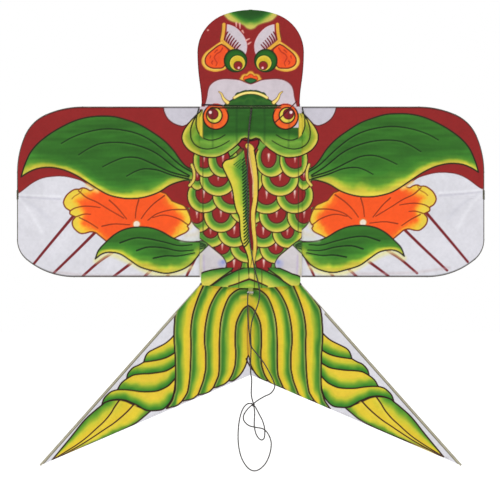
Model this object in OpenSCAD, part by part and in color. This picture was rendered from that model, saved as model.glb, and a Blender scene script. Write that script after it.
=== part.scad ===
// Dragon kite: a silk kite on a split-bamboo frame that comes apart for carrying.
// The centre frame holds the head, the body and the bridle. Each wing pulls out of
// two brass ferrules, and the swallow tail hangs from two loops and folds up behind.
// +X is the kite's right as seen from its painted face, the face looks along -Y, +Z is up.
// The origin is where the top spar crosses the spine, on the spar's centre line.

/* [Wings] */
// Distance from the spine to the middle of the outer upright of a wing
wing_reach = 349; // [300:1:400]
// Drop from the top spar to the bottom spar
wing_drop = 253; // [220:1:290]
// Drop from the top spar to the joint in the outer upright
tip_joint_drop = 131; // [120:1:150]
// Radius of the round bamboo spars
spar_r = 1.5; // [1.3:0.1:1.6]

/* [Head and body] */
// Bend radius at the crown of the head hoop
crown_bend = 115; // [100:1:130]
// Bend radius at the shoulders of the head hoop
shoulder_bend = 59; // [54:1:64]
// Height of the hoop's middle line above the top spar
hoop_top = 144.5; // [138:0.5:150]
// Width of the flat bamboo strip in the hoop and the posts
strip_w = 3; // [2.5:0.1:3.5]
// Thickness of that strip
strip_t = 1.7; // [1.4:0.1:1.7]
// Width of the spine
spine_w = 7; // [5:0.5:9]
// Drop from the top spar to the lower end of the spine
spine_drop = 281; // [276:1:286]
// Half width of the body silk
body_half = 76.5; // [76:0.1:78]
// Drop to the top and the bottom of the gathered waist band
waist_drop = [240, 269];

/* [Tail] */
// Drop from the top spar to the tail's hinge line
hinge_drop = 262; // [261:1:264]
// How far the hinge line lies behind the spars
hinge_back = 3.6; // [3.6:0.1:4.5]
// Half distance between the tail tips
tail_half = 316; // [260:1:330]
// Drop to the tail tips
tail_drop = 537; // [480:1:560]
// Drop to the notch of the swallow tail
notch_drop = 401; // [380:1:420]

/* [Fittings] */
// Outer radius of a brass ferrule
ferrule_r = 2.2; // [2.1:0.1:2.4]
// Running clearance round a spar that slides or turns
fit_gap = 0.05; // [0.03:0.01:0.08]
// Radius of the bridle thread
thread_r = 0.5; // [0.4:0.1:0.6]

/* [Hidden] */
$fn = 48;
silk_t = 0.4;          // silk with its glue line
lash_t = 0.7;          // thickness of a thread lashing over what it binds
front = -ferrule_r - strip_t;  // front face of the strips and the spine, where the silk is glued
spine_t = -front - spar_r;
ferrule_in = 44;       // inner end of each ferrule
socket_in = 52;        // inner end of each socket, where the centre spar stops
ferrule_out = 73.4;
tenon_gap = 0.3;       // end gap between a centre spar and a wing spar
knuckle_r = spar_r + 0.2;  // swelling at a bamboo joint
knuckle_w = 1.2;       // length of the hoop's knuckles
knuckle_gap = 0.3;     // what the knuckle fills between two stretches of a stick
wing_silk_in = 76;     // inner edge of the wing silk
loop_x = 36;           // where the tail loops sit
loop_w = 6;
loop_r = 2.5;
hem_w = 3;

// Bends are [straight length, bend radius, bend angle], clockwise negative
top_corner = [[0, 135, -24], [0, 60, -42], [0, 135, -24]];
bottom_corner = [[0, 110, 40], [0, 38, 50]];
hoop_bends = [[0, crown_bend, -20], [0, shoulder_bend, -70], [0, 300, -8], [10, 200, 8]];

// Bridle routes, [x, y, z] along the thread as it hangs in front of the silk
upper_leg_route = [
    [1, -5.8, -5.5], [0, -6.2, -12], [-2, -6.5, -28], [-3.5, -6.6, -48], [-4.5, -6.7, -75],
    [-5, -6.8, -105], [-5, -6.9, -135], [-4, -6.9, -165], [-2, -6.9, -195], [2, -6.9, -222],
    [7, -6.8, -246], [12, -6.7, -266], [13.5, -6.6, -280], [11, -6.5, -294], [6.5, -6.5, -307],
    [2, -6.5, -320], [0, -6.5, -337], [0.5, -6.5, -357], [0, -6.5, -380], [0, -6.4, -397],
    [1.5, -6.3, -408], [1, -6.1, -430], [4, -6, -443.5]];
lower_leg_route = [
    [-4, -7.2, -278], [-4.5, -7.8, -290], [-4.5, -7.9, -308], [-3.5, -8, -326], [-1.5, -8, -343],
    [0.5, -8, -357], [10, -8, -370], [20, -8, -383], [29, -8, -399], [35, -8, -412],
    [35.5, -8, -420], [30, -8, -428], [20, -8, -433], [10, -8, -439], [2, -8.4, -445.5],
    [-5, -8.6, -452], [-10.5, -8.6, -461], [-10, -8.6, -469], [-3, -8.6, -476], [8, -8.6, -479],
    [18, -8.6, -481], [25, -8.6, -487], [30, -8.6, -498], [30.5, -8.6, -509], [27.5, -8.6, -522],
    [22, -8.6, -533], [14, -8.6, -541], [5.5, -8.6, -544], [-3, -8.6, -540.5], [-10.5, -8.6, -531],
    [-15.5, -8.6, -519], [-18.5, -8.6, -502], [-18.5, -8.6, -482], [-16, -8.4, -464],
    [-11.5, -7.8, -451], [-5, -7.4, -444], [2.5, -7.2, -443.5]];
tow_loop_route = [
    [5, -5.8, -448.5], [6, -5.6, -458], [5.5, -5.6, -468], [5.5, -5.6, -478], [8, -5.6, -489],
    [12.5, -5.6, -496], [17, -5.6, -498], [20.5, -5.6, -494], [21, -5.6, -482], [18, -5.6, -470],
    [13, -5.6, -460], [7.5, -5.8, -449.5]];
upper_tie_at = [1, -5.9, -4];
lower_tie_at = [-4, -5.7, -277];
leg_knot_at = [0.5, -7.25, -357];
tow_knot_at = [4, -7, -446];

// Where a run of bends ends, and the points along it, in the plane of the kite
function unit(angle) = [cos(angle), sin(angle)];
function side_of(angle) = [-sin(angle), cos(angle)];
function trace(bends, at = [0, 0], heading = 0, i = 0) =
    i == len(bends) ? [at] :
    let (run = bends[i][0], radius = bends[i][1], turn = bends[i][2],
         start = at + run * unit(heading),
         centre = start + sign(turn) * radius * side_of(heading),
         steps = ceil(abs(turn) / 6),
         curve = [for (k = [1 : steps]) centre - sign(turn) * radius * side_of(heading + turn * k / steps)])
    concat([at], run > 0 ? [start] : [], [for (k = [0 : steps - 2]) curve[k]],
           trace(bends, curve[steps - 1], heading + turn, i + 1));
function last(list) = list[len(list) - 1];
function backwards(list) = [for (i = [len(list) - 1 : -1 : 0]) list[i]];

hoop_line = trace(hoop_bends, [0, hoop_top]);
post_x = last(hoop_line)[0];
post_top = last(hoop_line)[1] - knuckle_w / 2;
tenon_in = socket_in + tenon_gap;
top_corner_size = last(trace(top_corner))[0];
top_corner_drop = -last(trace(top_corner))[1];
bottom_corner_size = last(trace(bottom_corner))[0];
bottom_corner_rise = last(trace(bottom_corner))[1];
wing_silk_back = -knuckle_r;
tail_silk_front = hinge_back - spar_r - silk_t;
stick_top = [post_x - 0.4, -hinge_drop];
tail_tip = [tail_half, -tail_drop];

// A shape drawn in the kite's plane, standing up, from depth y0 back to y1
module panel(y0, y1) {
    translate([0, y1, 0]) rotate([90, 0, 0]) linear_extrude(y1 - y0) children();
}

// A stick that follows a run of bends from its start, heading along +X. The first child is its
// section, and the second is a bamboo knuckle, which joins one stretch to the next
module bent(bends, i = 0) {
    if (i < len(bends)) {
        run = bends[i][0];
        radius = bends[i][1];
        turn = bends[i][2];
        if (run > 0) rotate([90, 0, 90]) linear_extrude(run - knuckle_gap) children(0);
        translate([run, 0, 0]) {
            if (run > 0) children(1);
            if (turn > 0) bend(radius, turn) children(0);
            if (turn < 0) mirror([0, 1, 0]) bend(radius, -turn) children(0);
            translate([0, sign(turn) * radius, 0]) rotate([0, 0, turn])
                translate([0, -sign(turn) * radius, 0]) {
                    children(1);
                    bent(bends, i + 1) {
                        children(0);
                        children(1);
                    }
                }
        }
    }
}
module bend(radius, turn) {
    trim = knuckle_gap / radius * 180 / PI;
    translate([0, radius, 0]) rotate([0, 0, trim - 90])
        rotate_extrude(angle = turn - 2 * trim, $fn = 96) translate([radius, 0]) children();
}

// A round bent spar in the plane of the spars
module bent_spar(bends, at) {
    translate([at[0], 0, at[1]]) rotate([90, 0, 0]) bent(bends) {
        circle(spar_r);
        rotate([0, 90, 0]) cylinder(r = knuckle_r, h = 2, center = true);
    }
}

// A straight round rod between two points [x, z] at depth y
module rod(from, to, radius, y = 0) {
    span = to - from;
    translate([from[0], y, from[1]]) rotate([0, 90 - atan2(span[1], span[0]), 0])
        cylinder(r = radius, h = norm(span));
}

// A box given by its lowest and highest corners
module block(low, high) {
    translate(low) cube(high - low);
}

module left_side() {
    mirror([1, 0, 0]) children();
}

// A thread: one tube of eight sides swept along its route
function along(route, i) = route[min(i + 1, len(route) - 1)] - route[max(i - 1, 0)];
function across(v) = cross(v, [0, 1, 0]) / norm(cross(v, [0, 1, 0]));
function ring(route, i) =
    let (t = along(route, i) / norm(along(route, i)), u = across(t), v = cross(t, u))
    [for (k = [0 : 7]) route[i] + thread_r * (cos(45 * k) * u + sin(45 * k) * v)];
module thread(route) {
    rings = len(route);
    points = [for (i = [0 : rings - 1]) each ring(route, i)];
    sides = [for (i = [0 : rings - 2], k = [0 : 7])
        [8 * i + k, 8 * i + (k + 1) % 8, 8 * i + 8 + (k + 1) % 8, 8 * i + 8 + k]];
    caps = [[for (k = [7 : -1 : 0]) k], [for (k = [0 : 7]) 8 * rings - 8 + k]];
    polyhedron(points, concat(sides, caps));
}

/* Centre frame */

module hoop_half() {
    translate([0, front, hoop_top]) rotate([90, 0, 0]) bent(hoop_bends) {
        translate([-strip_w / 2, -strip_t]) square([strip_w, strip_t]);
        translate([-knuckle_w / 2, -strip_w / 2 - 0.2, -strip_t - 0.2])
            cube([knuckle_w, strip_w + 0.4, strip_t + 0.2]);
    }
}

module whole_hoop() {
    hoop_half();
    left_side() hoop_half();
    block([-knuckle_w / 2, front, hoop_top - strip_w / 2 - 0.1],
          [knuckle_w / 2, front + strip_t + 0.2, hoop_top + strip_w / 2]);
}

module head_hoop() {
    color("tan") whole_hoop();
}

module post() {
    block([post_x - strip_w / 2, front, -hinge_drop], [post_x + strip_w / 2, front + strip_t, post_top]);
}

module right_post() {
    color("tan") post();
}

module left_post() {
    color("tan") left_side() post();
}

module spine() {
    color("burlywood") block([-spine_w / 2, front, -spine_drop],
                             [spine_w / 2, front + spine_t, hoop_top - strip_w / 2 - 0.2]);
}

module centre_spar(drop) {
    rod([-socket_in, -drop], [socket_in, -drop], spar_r);
}

module top_centre_spar() {
    color("tan") centre_spar(0);
}

module bottom_centre_spar() {
    color("tan") centre_spar(wing_drop);
}

// A tube, tight on the centre spar and a sliding fit on the wing spar
module ferrule(drop) {
    difference() {
        rod([ferrule_in, -drop], [ferrule_out, -drop], ferrule_r);
        rod([ferrule_in - 1, -drop], [socket_in + 1, -drop], spar_r);
        rod([socket_in, -drop], [ferrule_out + 1, -drop], spar_r + fit_gap);
    }
}

module right_top_ferrule() {
    color("darkgoldenrod") ferrule(0);
}

module left_top_ferrule() {
    color("darkgoldenrod") left_side() ferrule(0);
}

module right_bottom_ferrule() {
    color("darkgoldenrod") ferrule(wing_drop);
}

module left_bottom_ferrule() {
    color("darkgoldenrod") left_side() ferrule(wing_drop);
}

// Thread wound round a post and the ferrule that crosses behind it
module post_lashing(drop, half_height) {
    difference() {
        block([post_x - strip_w / 2 - lash_t, front, -drop - half_height],
              [post_x + strip_w / 2 + lash_t, ferrule_r + lash_t, -drop + half_height]);
        block([post_x - strip_w / 2, front - 1, -drop - half_height - 1],
              [post_x + strip_w / 2, front + strip_t, -drop + half_height + 1]);
        rod([ferrule_in, -drop], [wing_silk_in + 2, -drop], ferrule_r);
    }
}

module right_top_lashing() {
    color("darkolivegreen") difference() {
        post_lashing(0, 6);
        hoop_half();
    }
}

module left_top_lashing() {
    left_side() right_top_lashing();
}

module right_bottom_lashing() {
    color("darkolivegreen") post_lashing(wing_drop, 4);
}

module left_bottom_lashing() {
    color("darkolivegreen") left_side() post_lashing(wing_drop, 4);
}

// Thread wound round the spine and a centre spar
module spine_lashing(drop) {
    difference() {
        block([-spine_w / 2 - lash_t, front, -drop - 4], [spine_w / 2 + lash_t, spar_r + lash_t, -drop + 4]);
        block([-spine_w / 2, front - 1, -drop - 5], [spine_w / 2, front + spine_t, -drop + 5]);
        rod([-socket_in, -drop], [socket_in, -drop], spar_r);
    }
}

module spine_top_lashing() {
    color("darkolivegreen") spine_lashing(0);
}

module spine_bottom_lashing() {
    color("darkolivegreen") spine_lashing(wing_drop);
}

// Thread wound over the hoop and down the head of the spine
module crown_lashing() {
    color("darkolivegreen") difference() {
        block([-spine_w / 2 - lash_t, front, hoop_top - 5],
              [spine_w / 2 + lash_t, front + spine_t + lash_t, hoop_top + strip_w / 2 + 0.3]);
        block([-spine_w / 2, front - 1, hoop_top - 6],
              [spine_w / 2, front + spine_t, hoop_top - strip_w / 2 - 0.2]);
        whole_hoop();
    }
}

// Silk over the dome of the head, cut to the outside of the hoop
module head_silk() {
    half = [for (p = hoop_line) [p[0], max(p[1], strip_w / 2)]];
    color("firebrick") panel(front - silk_t, front) offset(r = strip_w / 2, $fn = 32)
        polygon(concat(half, [for (p = backwards(half)) if (p[0] > 0) [-p[0], p[1]]]));
}

module body_silk() {
    color("forestgreen") block([-body_half, front - silk_t, -wing_drop - 2], [body_half, front, 0]);
}

// A gathered band that flares over the top of the tail
module waist_band() {
    color("yellowgreen") panel(front - 2 * silk_t, front - silk_t)
        polygon([[-73, -waist_drop[0]], [73, -waist_drop[0]], [75, -waist_drop[1]], [-75, -waist_drop[1]]]);
}

// A sewn loop that hangs the tail's crosspiece from the bottom centre spar
module tail_loop() {
    spar_at = [0, -wing_drop];
    hinge_at = [hinge_back, -hinge_drop];
    reach = hinge_at - spar_at;
    translate([loop_x - loop_w / 2, 0, 0]) rotate([90, 0, 90]) linear_extrude(loop_w) difference() {
        union() {
            translate(spar_at) circle(loop_r);
            translate(hinge_at) circle(loop_r);
            translate(spar_at) rotate(atan2(reach[1], reach[0]))
                translate([spar_r + 0.5, -0.6]) square([norm(reach) - 2 * spar_r - 1, 1.2]);
        }
        translate(spar_at) circle(spar_r);
        translate(hinge_at) circle(spar_r + fit_gap);
    }
}

module right_tail_loop() {
    color("seagreen") tail_loop();
}

module left_tail_loop() {
    color("seagreen") left_side() tail_loop();
}

/* Bridle */

module knot(at, radius) {
    translate(at) sphere(r = radius);
}

module upper_tie() {
    color("dimgray") knot(upper_tie_at, 1.6);
}

// The lower tie goes round the end of the spine, with its knot in front
module lower_tie() {
    color("gainsboro") {
        difference() {
            block([-spine_w / 2 - lash_t, front - lash_t, -spine_drop + 2],
                  [spine_w / 2 + lash_t, front + spine_t + lash_t, -spine_drop + 6]);
            block([-spine_w / 2, front, -spine_drop + 1], [spine_w / 2, front + spine_t, -spine_drop + 7]);
        }
        knot(lower_tie_at, 1.8);
    }
}

module leg_knot() {
    color("dimgray") knot(leg_knot_at, 1.8);
}

module tow_knot() {
    color("dimgray") knot(tow_knot_at, 3);
}

module bridle_upper_leg() {
    color("dimgray") thread(upper_leg_route);
}

module bridle_lower_leg() {
    color("dimgray") thread(lower_leg_route);
}

module tow_loop() {
    color("dimgray") thread(tow_loop_route);
}

/* Wings */

module wing_top_spar() {
    run = wing_reach - top_corner_size - tenon_in;
    first = [run, top_corner[0][1], top_corner[0][2]];
    bent_spar([first, top_corner[1], top_corner[2]], [tenon_in, 0]);
    rod([wing_reach, -top_corner_drop - knuckle_gap], [wing_reach, -tip_joint_drop], spar_r);
}

module wing_bottom_spar() {
    run = wing_reach - bottom_corner_size - tenon_in;
    first = [run, bottom_corner[0][1], bottom_corner[0][2]];
    bent_spar([first, bottom_corner[1]], [tenon_in, -wing_drop]);
    rod([wing_reach, bottom_corner_rise - wing_drop + knuckle_gap], [wing_reach, -tip_joint_drop], spar_r);
}

// Silk glued to the front of the two spars
module wing_silk() {
    top = trace(top_corner, [wing_reach - top_corner_size, 0]);
    bottom = trace(bottom_corner, [wing_reach - bottom_corner_size, -wing_drop]);
    panel(wing_silk_back - silk_t, wing_silk_back)
        polygon(concat([[wing_silk_in, 0]], top, backwards(bottom), [[wing_silk_in, -wing_drop]]));
}

// Thread wound where the two spars meet in the outer upright
module tip_binding() {
    difference() {
        rod([wing_reach, -tip_joint_drop - 7], [wing_reach, -tip_joint_drop + 7], spar_r + lash_t);
        rod([wing_reach, -tip_joint_drop - 8], [wing_reach, -tip_joint_drop + 8], spar_r);
        block([wing_reach - 5, -spar_r - lash_t - 1, -tip_joint_drop - 8],
              [wing_reach, wing_silk_back + 0.01, -tip_joint_drop + 8]);
    }
}

// Folded edges of the silk, behind it, along the straight runs of both spars
module wing_hem() {
    edge = knuckle_r + 0.1;
    block([wing_silk_in + 4, wing_silk_back, -edge - hem_w],
          [wing_reach - top_corner_size, wing_silk_back + silk_t, -edge]);
    block([wing_silk_in + 4, wing_silk_back, -wing_drop + edge],
          [wing_reach - bottom_corner_size, wing_silk_back + silk_t, -wing_drop + edge + hem_w]);
}

module right_wing_top_spar() {
    color("gray") wing_top_spar();
}

module left_wing_top_spar() {
    color("gray") left_side() wing_top_spar();
}

module right_wing_bottom_spar() {
    color("wheat") wing_bottom_spar();
}

module left_wing_bottom_spar() {
    color("wheat") left_side() wing_bottom_spar();
}

module right_tip_binding() {
    color("darkolivegreen") tip_binding();
}

module left_tip_binding() {
    color("darkolivegreen") left_side() tip_binding();
}

module right_wing_silk() {
    color("firebrick") wing_silk();
}

module left_wing_silk() {
    color("firebrick") left_side() wing_silk();
}

module right_wing_hem() {
    color("lavender") wing_hem();
}

module left_wing_hem() {
    color("lavender") left_side() wing_hem();
}

/* Tail */

module tail_crosspiece() {
    end = post_x - 3.5;
    color("tan") rod([-end, -hinge_drop], [end, -hinge_drop], spar_r, hinge_back);
}

module tail_stick() {
    rod(stick_top, tail_tip, spar_r, hinge_back);
}

// Thread wound round the end of the crosspiece and the head of a tail stick
module tail_lashing() {
    difference() {
        block([post_x - 7, hinge_back - spar_r, -hinge_drop - 4],
              [post_x + 4.5, hinge_back + spar_r + 0.3, -hinge_drop + 3]);
        rod([0, -hinge_drop], [post_x - 3.5, -hinge_drop], spar_r, hinge_back);
        tail_stick();
    }
}

module tail_silk() {
    panel(tail_silk_front, tail_silk_front + silk_t)
        polygon([[0, -hinge_drop - 3], [post_x + 2.3, -hinge_drop - 3], tail_tip, [0, -notch_drop]]);
}

// The stitched hem along the notch, folded behind the silk
module tail_hem() {
    edge = tail_tip - [0, -notch_drop];
    slope = atan2(edge[1], edge[0]);
    panel(tail_silk_front + silk_t, tail_silk_front + 2 * silk_t)
        translate([0, -notch_drop]) rotate(slope)
            translate([4, 0.6]) square([norm(edge) - 22, hem_w]);
}

module right_tail_stick() {
    color("wheat") tail_stick();
}

module left_tail_stick() {
    color("wheat") left_side() tail_stick();
}

module right_tail_lashing() {
    color("darkolivegreen") tail_lashing();
}

module left_tail_lashing() {
    color("darkolivegreen") left_side() tail_lashing();
}

module right_tail_silk() {
    color("yellowgreen") tail_silk();
}

module left_tail_silk() {
    color("yellowgreen") left_side() tail_silk();
}

module right_tail_hem() {
    color("lavender") tail_hem();
}

module left_tail_hem() {
    color("lavender") left_side() tail_hem();
}

head_hoop();
left_post();
right_post();
spine();
top_centre_spar();
bottom_centre_spar();
left_top_ferrule();
right_top_ferrule();
left_bottom_ferrule();
right_bottom_ferrule();
crown_lashing();
spine_top_lashing();
spine_bottom_lashing();
left_top_lashing();
right_top_lashing();
left_bottom_lashing();
right_bottom_lashing();
head_silk();
body_silk();
waist_band();
left_tail_loop();
right_tail_loop();
upper_tie();
lower_tie();
leg_knot();
tow_knot();
bridle_upper_leg();
bridle_lower_leg();
tow_loop();
left_wing_top_spar();
left_wing_bottom_spar();
left_tip_binding();
left_wing_silk();
left_wing_hem();
right_wing_top_spar();
right_wing_bottom_spar();
right_tip_binding();
right_wing_silk();
right_wing_hem();
tail_crosspiece();
left_tail_stick();
right_tail_stick();
left_tail_lashing();
right_tail_lashing();
left_tail_silk();
right_tail_silk();
left_tail_hem();
right_tail_hem();
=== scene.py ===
"""Looks for the dragon kite: painted silk panels, bamboo, thread wraps and the bridle."""

import math

import bpy
import numpy as np
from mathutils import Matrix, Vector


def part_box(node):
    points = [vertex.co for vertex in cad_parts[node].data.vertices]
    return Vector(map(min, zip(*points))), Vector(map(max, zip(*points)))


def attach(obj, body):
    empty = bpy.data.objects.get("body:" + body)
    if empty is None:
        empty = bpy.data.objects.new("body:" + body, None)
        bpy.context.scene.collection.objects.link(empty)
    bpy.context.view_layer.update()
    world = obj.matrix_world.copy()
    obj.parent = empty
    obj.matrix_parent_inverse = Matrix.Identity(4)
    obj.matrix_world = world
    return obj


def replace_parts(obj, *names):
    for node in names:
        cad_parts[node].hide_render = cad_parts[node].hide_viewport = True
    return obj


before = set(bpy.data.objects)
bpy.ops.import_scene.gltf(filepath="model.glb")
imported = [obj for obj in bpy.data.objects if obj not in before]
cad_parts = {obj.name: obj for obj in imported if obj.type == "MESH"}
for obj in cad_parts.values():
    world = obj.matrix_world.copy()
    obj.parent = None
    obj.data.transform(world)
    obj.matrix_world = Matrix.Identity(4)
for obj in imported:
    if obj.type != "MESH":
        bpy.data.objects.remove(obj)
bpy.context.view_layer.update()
MM = 0.001


# Camera and stage ------------------------------------------------------------------------------

def place_camera(distance=3.0, width=0.75, centre=(-0.001, -0.1972)):
    """A level camera in front, as far off and as wide as the kite needs."""
    data = bpy.data.cameras.new("camera")
    data.sensor_width = 36
    data.lens = data.sensor_width * distance / width
    camera = bpy.data.objects.new("camera", data)
    camera.location = (centre[0], -distance, centre[1])
    camera.rotation_euler = (math.pi / 2, 0, 0)
    bpy.context.collection.objects.link(camera)
    bpy.context.scene.camera = camera


def place_light():
    """White surroundings and a broad soft key from the upper left."""
    world = bpy.data.worlds.new("studio")
    world.use_nodes = True
    world.node_tree.nodes["Background"].inputs["Color"].default_value = (1, 1, 1, 1)
    world.node_tree.nodes["Background"].inputs["Strength"].default_value = 1.0
    bpy.context.scene.world = world
    bpy.context.scene.view_settings.view_transform = "Standard"
    for name, turn, strength, spread in (("key", (62, -34), 0.45, 12), ("back", (60, 200), 0.15, 40)):
        data = bpy.data.lights.new(name, "SUN")
        data.energy = strength
        data.angle = math.radians(spread)
        light = bpy.data.objects.new(name, data)
        light.rotation_euler = (math.radians(turn[0]), 0, math.radians(turn[1]))
        bpy.context.collection.objects.link(light)


place_camera()
place_light()


# Mesh helpers ----------------------------------------------------------------------------------

def add_mesh(name, verts, faces, body, material):
    """A piece of the kite from points in millimetres, riding on a body."""
    data = bpy.data.meshes.new(name)
    data.from_pydata([(x * MM, y * MM, z * MM) for x, y, z in verts], [], faces)
    data.polygons.foreach_set("use_smooth", [True] * len(data.polygons))
    data.materials.append(material)
    piece = bpy.data.objects.new(name, data)
    bpy.context.collection.objects.link(piece)
    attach(piece, body)
    return piece


ASLANT = (0.31, 0.87, 0.38)  # along no strand, so every strand has a side to start from


class Tubes:
    """Round strands gathered into one mesh."""

    def __init__(self):
        self.verts, self.faces = [], []

    def add(self, points, radius, sides=5, closed=False):
        """A strand through the points, closed into a ring or with both ends capped."""
        p = np.array(points, float)
        count = len(p)
        if closed:
            along = np.roll(p, -1, 0) - np.roll(p, 1, 0)
        else:
            along = np.gradient(p, axis=0)
        along /= np.linalg.norm(along, axis=1)[:, None]
        side = np.cross(along[0], ASLANT)
        start = len(self.verts)
        for k in range(count):
            side = side - along[k] * np.dot(side, along[k])
            side /= np.linalg.norm(side)
            up = np.cross(along[k], side)
            for j in range(sides):
                turn = 2 * math.pi * j / sides
                self.verts.append(p[k] + radius * (math.cos(turn) * side + math.sin(turn) * up))
        for k in range(count if closed else count - 1):
            a, b = start + k * sides, start + (k + 1) % count * sides
            for j in range(sides):
                i = (j + 1) % sides
                self.faces.append((a + j, a + i, b + i, b + j))
        if not closed:
            self.faces.append(tuple(range(start + sides - 1, start - 1, -1)))
            self.faces.append(tuple(range(start + (count - 1) * sides, start + count * sides)))

    def piece(self, name, body, material, slot, *nodes):
        """One piece of all the strands, in place of the CAD nodes named."""
        piece = add_mesh(name, self.verts, self.faces, body, material)
        if nodes:
            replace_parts(piece, *nodes)
        return piece


def smooth(points, steps=6):
    """A soft open curve through the points, with so many steps from each to the next."""
    p = np.array(points, float)
    p = np.vstack([2 * p[0] - p[1], p, 2 * p[-1] - p[-2]])
    t = np.linspace(0, 1, steps, endpoint=False)[:, None]
    runs = [
        b + 0.5 * t * (c - a + t * (2 * a - 5 * b + 4 * c - d + t * (3 * b - 3 * c + d - a)))
        for a, b, c, d in zip(p, p[1:], p[2:], p[3:])
    ]
    return np.vstack(runs + [p[-2:-1]])


def curve_through(points, step):
    """Even points about step apart on a soft curve through 3-D points."""
    fine = smooth(points, 12)
    reach = np.concatenate([[0], np.cumsum(np.linalg.norm(np.diff(fine, axis=0), axis=1))])
    marks = np.linspace(0, reach[-1], max(int(reach[-1] / step), 2) + 1)
    return np.stack([np.interp(marks, reach, fine[:, k]) for k in range(3)], 1)


# Materials -------------------------------------------------------------------------------------

class Shader:
    """A small builder for node materials."""

    def __init__(self, name, roughness=0.6, **values):
        self.material = bpy.data.materials.new(name)
        self.material.use_nodes = True
        self.nodes = self.material.node_tree.nodes
        self.links = self.material.node_tree.links
        self.out = self.nodes["Principled BSDF"]
        self.out.inputs["Roughness"].default_value = roughness
        for key, value in values.items():
            self.out.inputs[SOCKETS[key]].default_value = value
        self.place = self.nodes.new("ShaderNodeTexCoord").outputs["Object"]

    def feed(self, socket, value):
        """Sets a socket, or links it where the value is another node's output."""
        if isinstance(value, bpy.types.NodeSocket):
            self.links.new(value, socket)
        else:
            socket.default_value = value

    def node(self, kind, **inputs):
        made = self.nodes.new(kind)
        for key, value in inputs.items():
            self.feed(made.inputs[key], value)
        return made

    def stretch(self, scale, turn=(0, 0, 0)):
        return self.node("ShaderNodeMapping", Vector=self.place, Scale=scale,
            Rotation=turn).outputs["Vector"]

    def noise(self, scale, detail=3.0, stretch=(1, 1, 1)):
        return self.node("ShaderNodeTexNoise", Vector=self.stretch(stretch), Scale=scale,
            Detail=detail).outputs["Fac"]

    def wave(self, scale, turn=(0, 0, 0), distortion=0.0):
        made = self.node("ShaderNodeTexWave", Vector=self.stretch((1, 1, 1), turn), Scale=scale,
            Distortion=distortion)
        made.wave_profile = "SIN"
        return made.outputs["Fac"]

    def ramp(self, fac, *stops):
        made = self.node("ShaderNodeValToRGB", Fac=fac)
        band = made.color_ramp
        while len(band.elements) < len(stops):
            band.elements.new(0.5)
        for element, (place, colour) in zip(band.elements, stops):
            element.position = place
            element.color = (*colour, 1)
        return made.outputs["Color"]

    def mix(self, one, two, fac, way="MIX"):
        made = self.nodes.new("ShaderNodeMix")
        made.data_type = "RGBA"
        made.blend_type = way
        for place, value in ((0, fac), (6, one), (7, two)):
            self.feed(made.inputs[place], value)
        return made.outputs[2]

    def math(self, way, one, two):
        made = self.nodes.new("ShaderNodeMath")
        made.operation = way
        self.feed(made.inputs[0], one)
        self.feed(made.inputs[1], two)
        return made.outputs[0]

    def mean(self, one, two):
        return self.math("MULTIPLY", self.math("ADD", one, two), 0.5)

    def multiply(self, one, two, fac=1.0):
        return self.mix(one, two, fac, "MULTIPLY")

    def paint(self, colour):
        self.links.new(colour, self.out.inputs["Base Color"])

    def rough(self, value, low, high):
        span = self.node("ShaderNodeMapRange", Value=value)
        span.inputs["To Min"].default_value = low
        span.inputs["To Max"].default_value = high
        self.links.new(span.outputs["Result"], self.out.inputs["Roughness"])

    def bump(self, height, distance, strength=1.0):
        made = self.node("ShaderNodeBump", Height=height, Distance=distance, Strength=strength)
        self.links.new(made.outputs["Normal"], self.out.inputs["Normal"])


SOCKETS = {"specular": "Specular IOR Level", "sheen": "Sheen Weight",
    "sheen_roughness": "Sheen Roughness", "metallic": "Metallic"}


def silk_material(name, *tones):
    """Silk: a fine plain weave with a faint sheen, in two tones or in each point's paint."""
    s = Shader(name, 0.62, specular=0.14, sheen=0.04, sheen_roughness=0.5)
    warp = s.wave(1250)
    weft = s.wave(1150, (0, math.pi / 2, 0))
    weave = s.math("ADD", warp, weft)
    slub = s.noise(900, 2, (0.05, 1, 1))
    if tones:
        base = s.ramp(s.noise(60), (0.3, tones[0]), (0.7, tones[1]))
    else:
        colour = s.node("ShaderNodeVertexColor")
        colour.layer_name = "paint"
        base = colour.outputs["Color"]
    threads = s.ramp(s.math("MULTIPLY", weave, 0.5), (0.1, (0.86, 0.86, 0.86)), (0.6, (1, 1, 1)))
    cloud = s.ramp(s.noise(35, 4), (0.3, (0.975, 0.975, 0.975)), (0.7, (1, 1, 1)))
    s.paint(s.multiply(s.multiply(base, threads, 0.8), cloud))
    s.rough(slub, 0.5, 0.74)
    s.bump(s.math("ADD", weave, s.math("MULTIPLY", slub, 1.4)), 0.00012, 0.5)
    return s.material


def bamboo_material(name, tones, stretch, dyed_below=None):
    """Split bamboo: long fibres, darker flecks and a waxy skin, with dye run on to it below a height."""
    dark, mid, light = tones
    s = Shader(name, 0.5, specular=0.35)
    fibre = s.noise(2600, 3, stretch)
    tone = s.noise(55, 2)
    grain = s.ramp(fibre, (0.3, dark), (0.52, mid), (0.72, light))
    patch = s.ramp(tone, (0.35, (0.82, 0.8, 0.76)), (0.65, (1, 1, 1)))
    wood = s.multiply(grain, patch)
    if dyed_below is not None:
        height = s.node("ShaderNodeSeparateXYZ", Vector=s.place).outputs["Z"]
        run = s.node("ShaderNodeMapRange", Value=height)
        run.inputs["From Min"].default_value = dyed_below
        run.inputs["From Max"].default_value = dyed_below - 0.004
        dye = s.ramp(fibre, (0.3, (0.13, 0.17, 0.03)), (0.7, (0.36, 0.36, 0.07)))
        wood = s.mix(wood, dye, run.outputs["Result"])
    s.paint(wood)
    s.rough(fibre, 0.38, 0.66)
    s.bump(fibre, 0.0001, 0.5)
    return s.material


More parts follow.
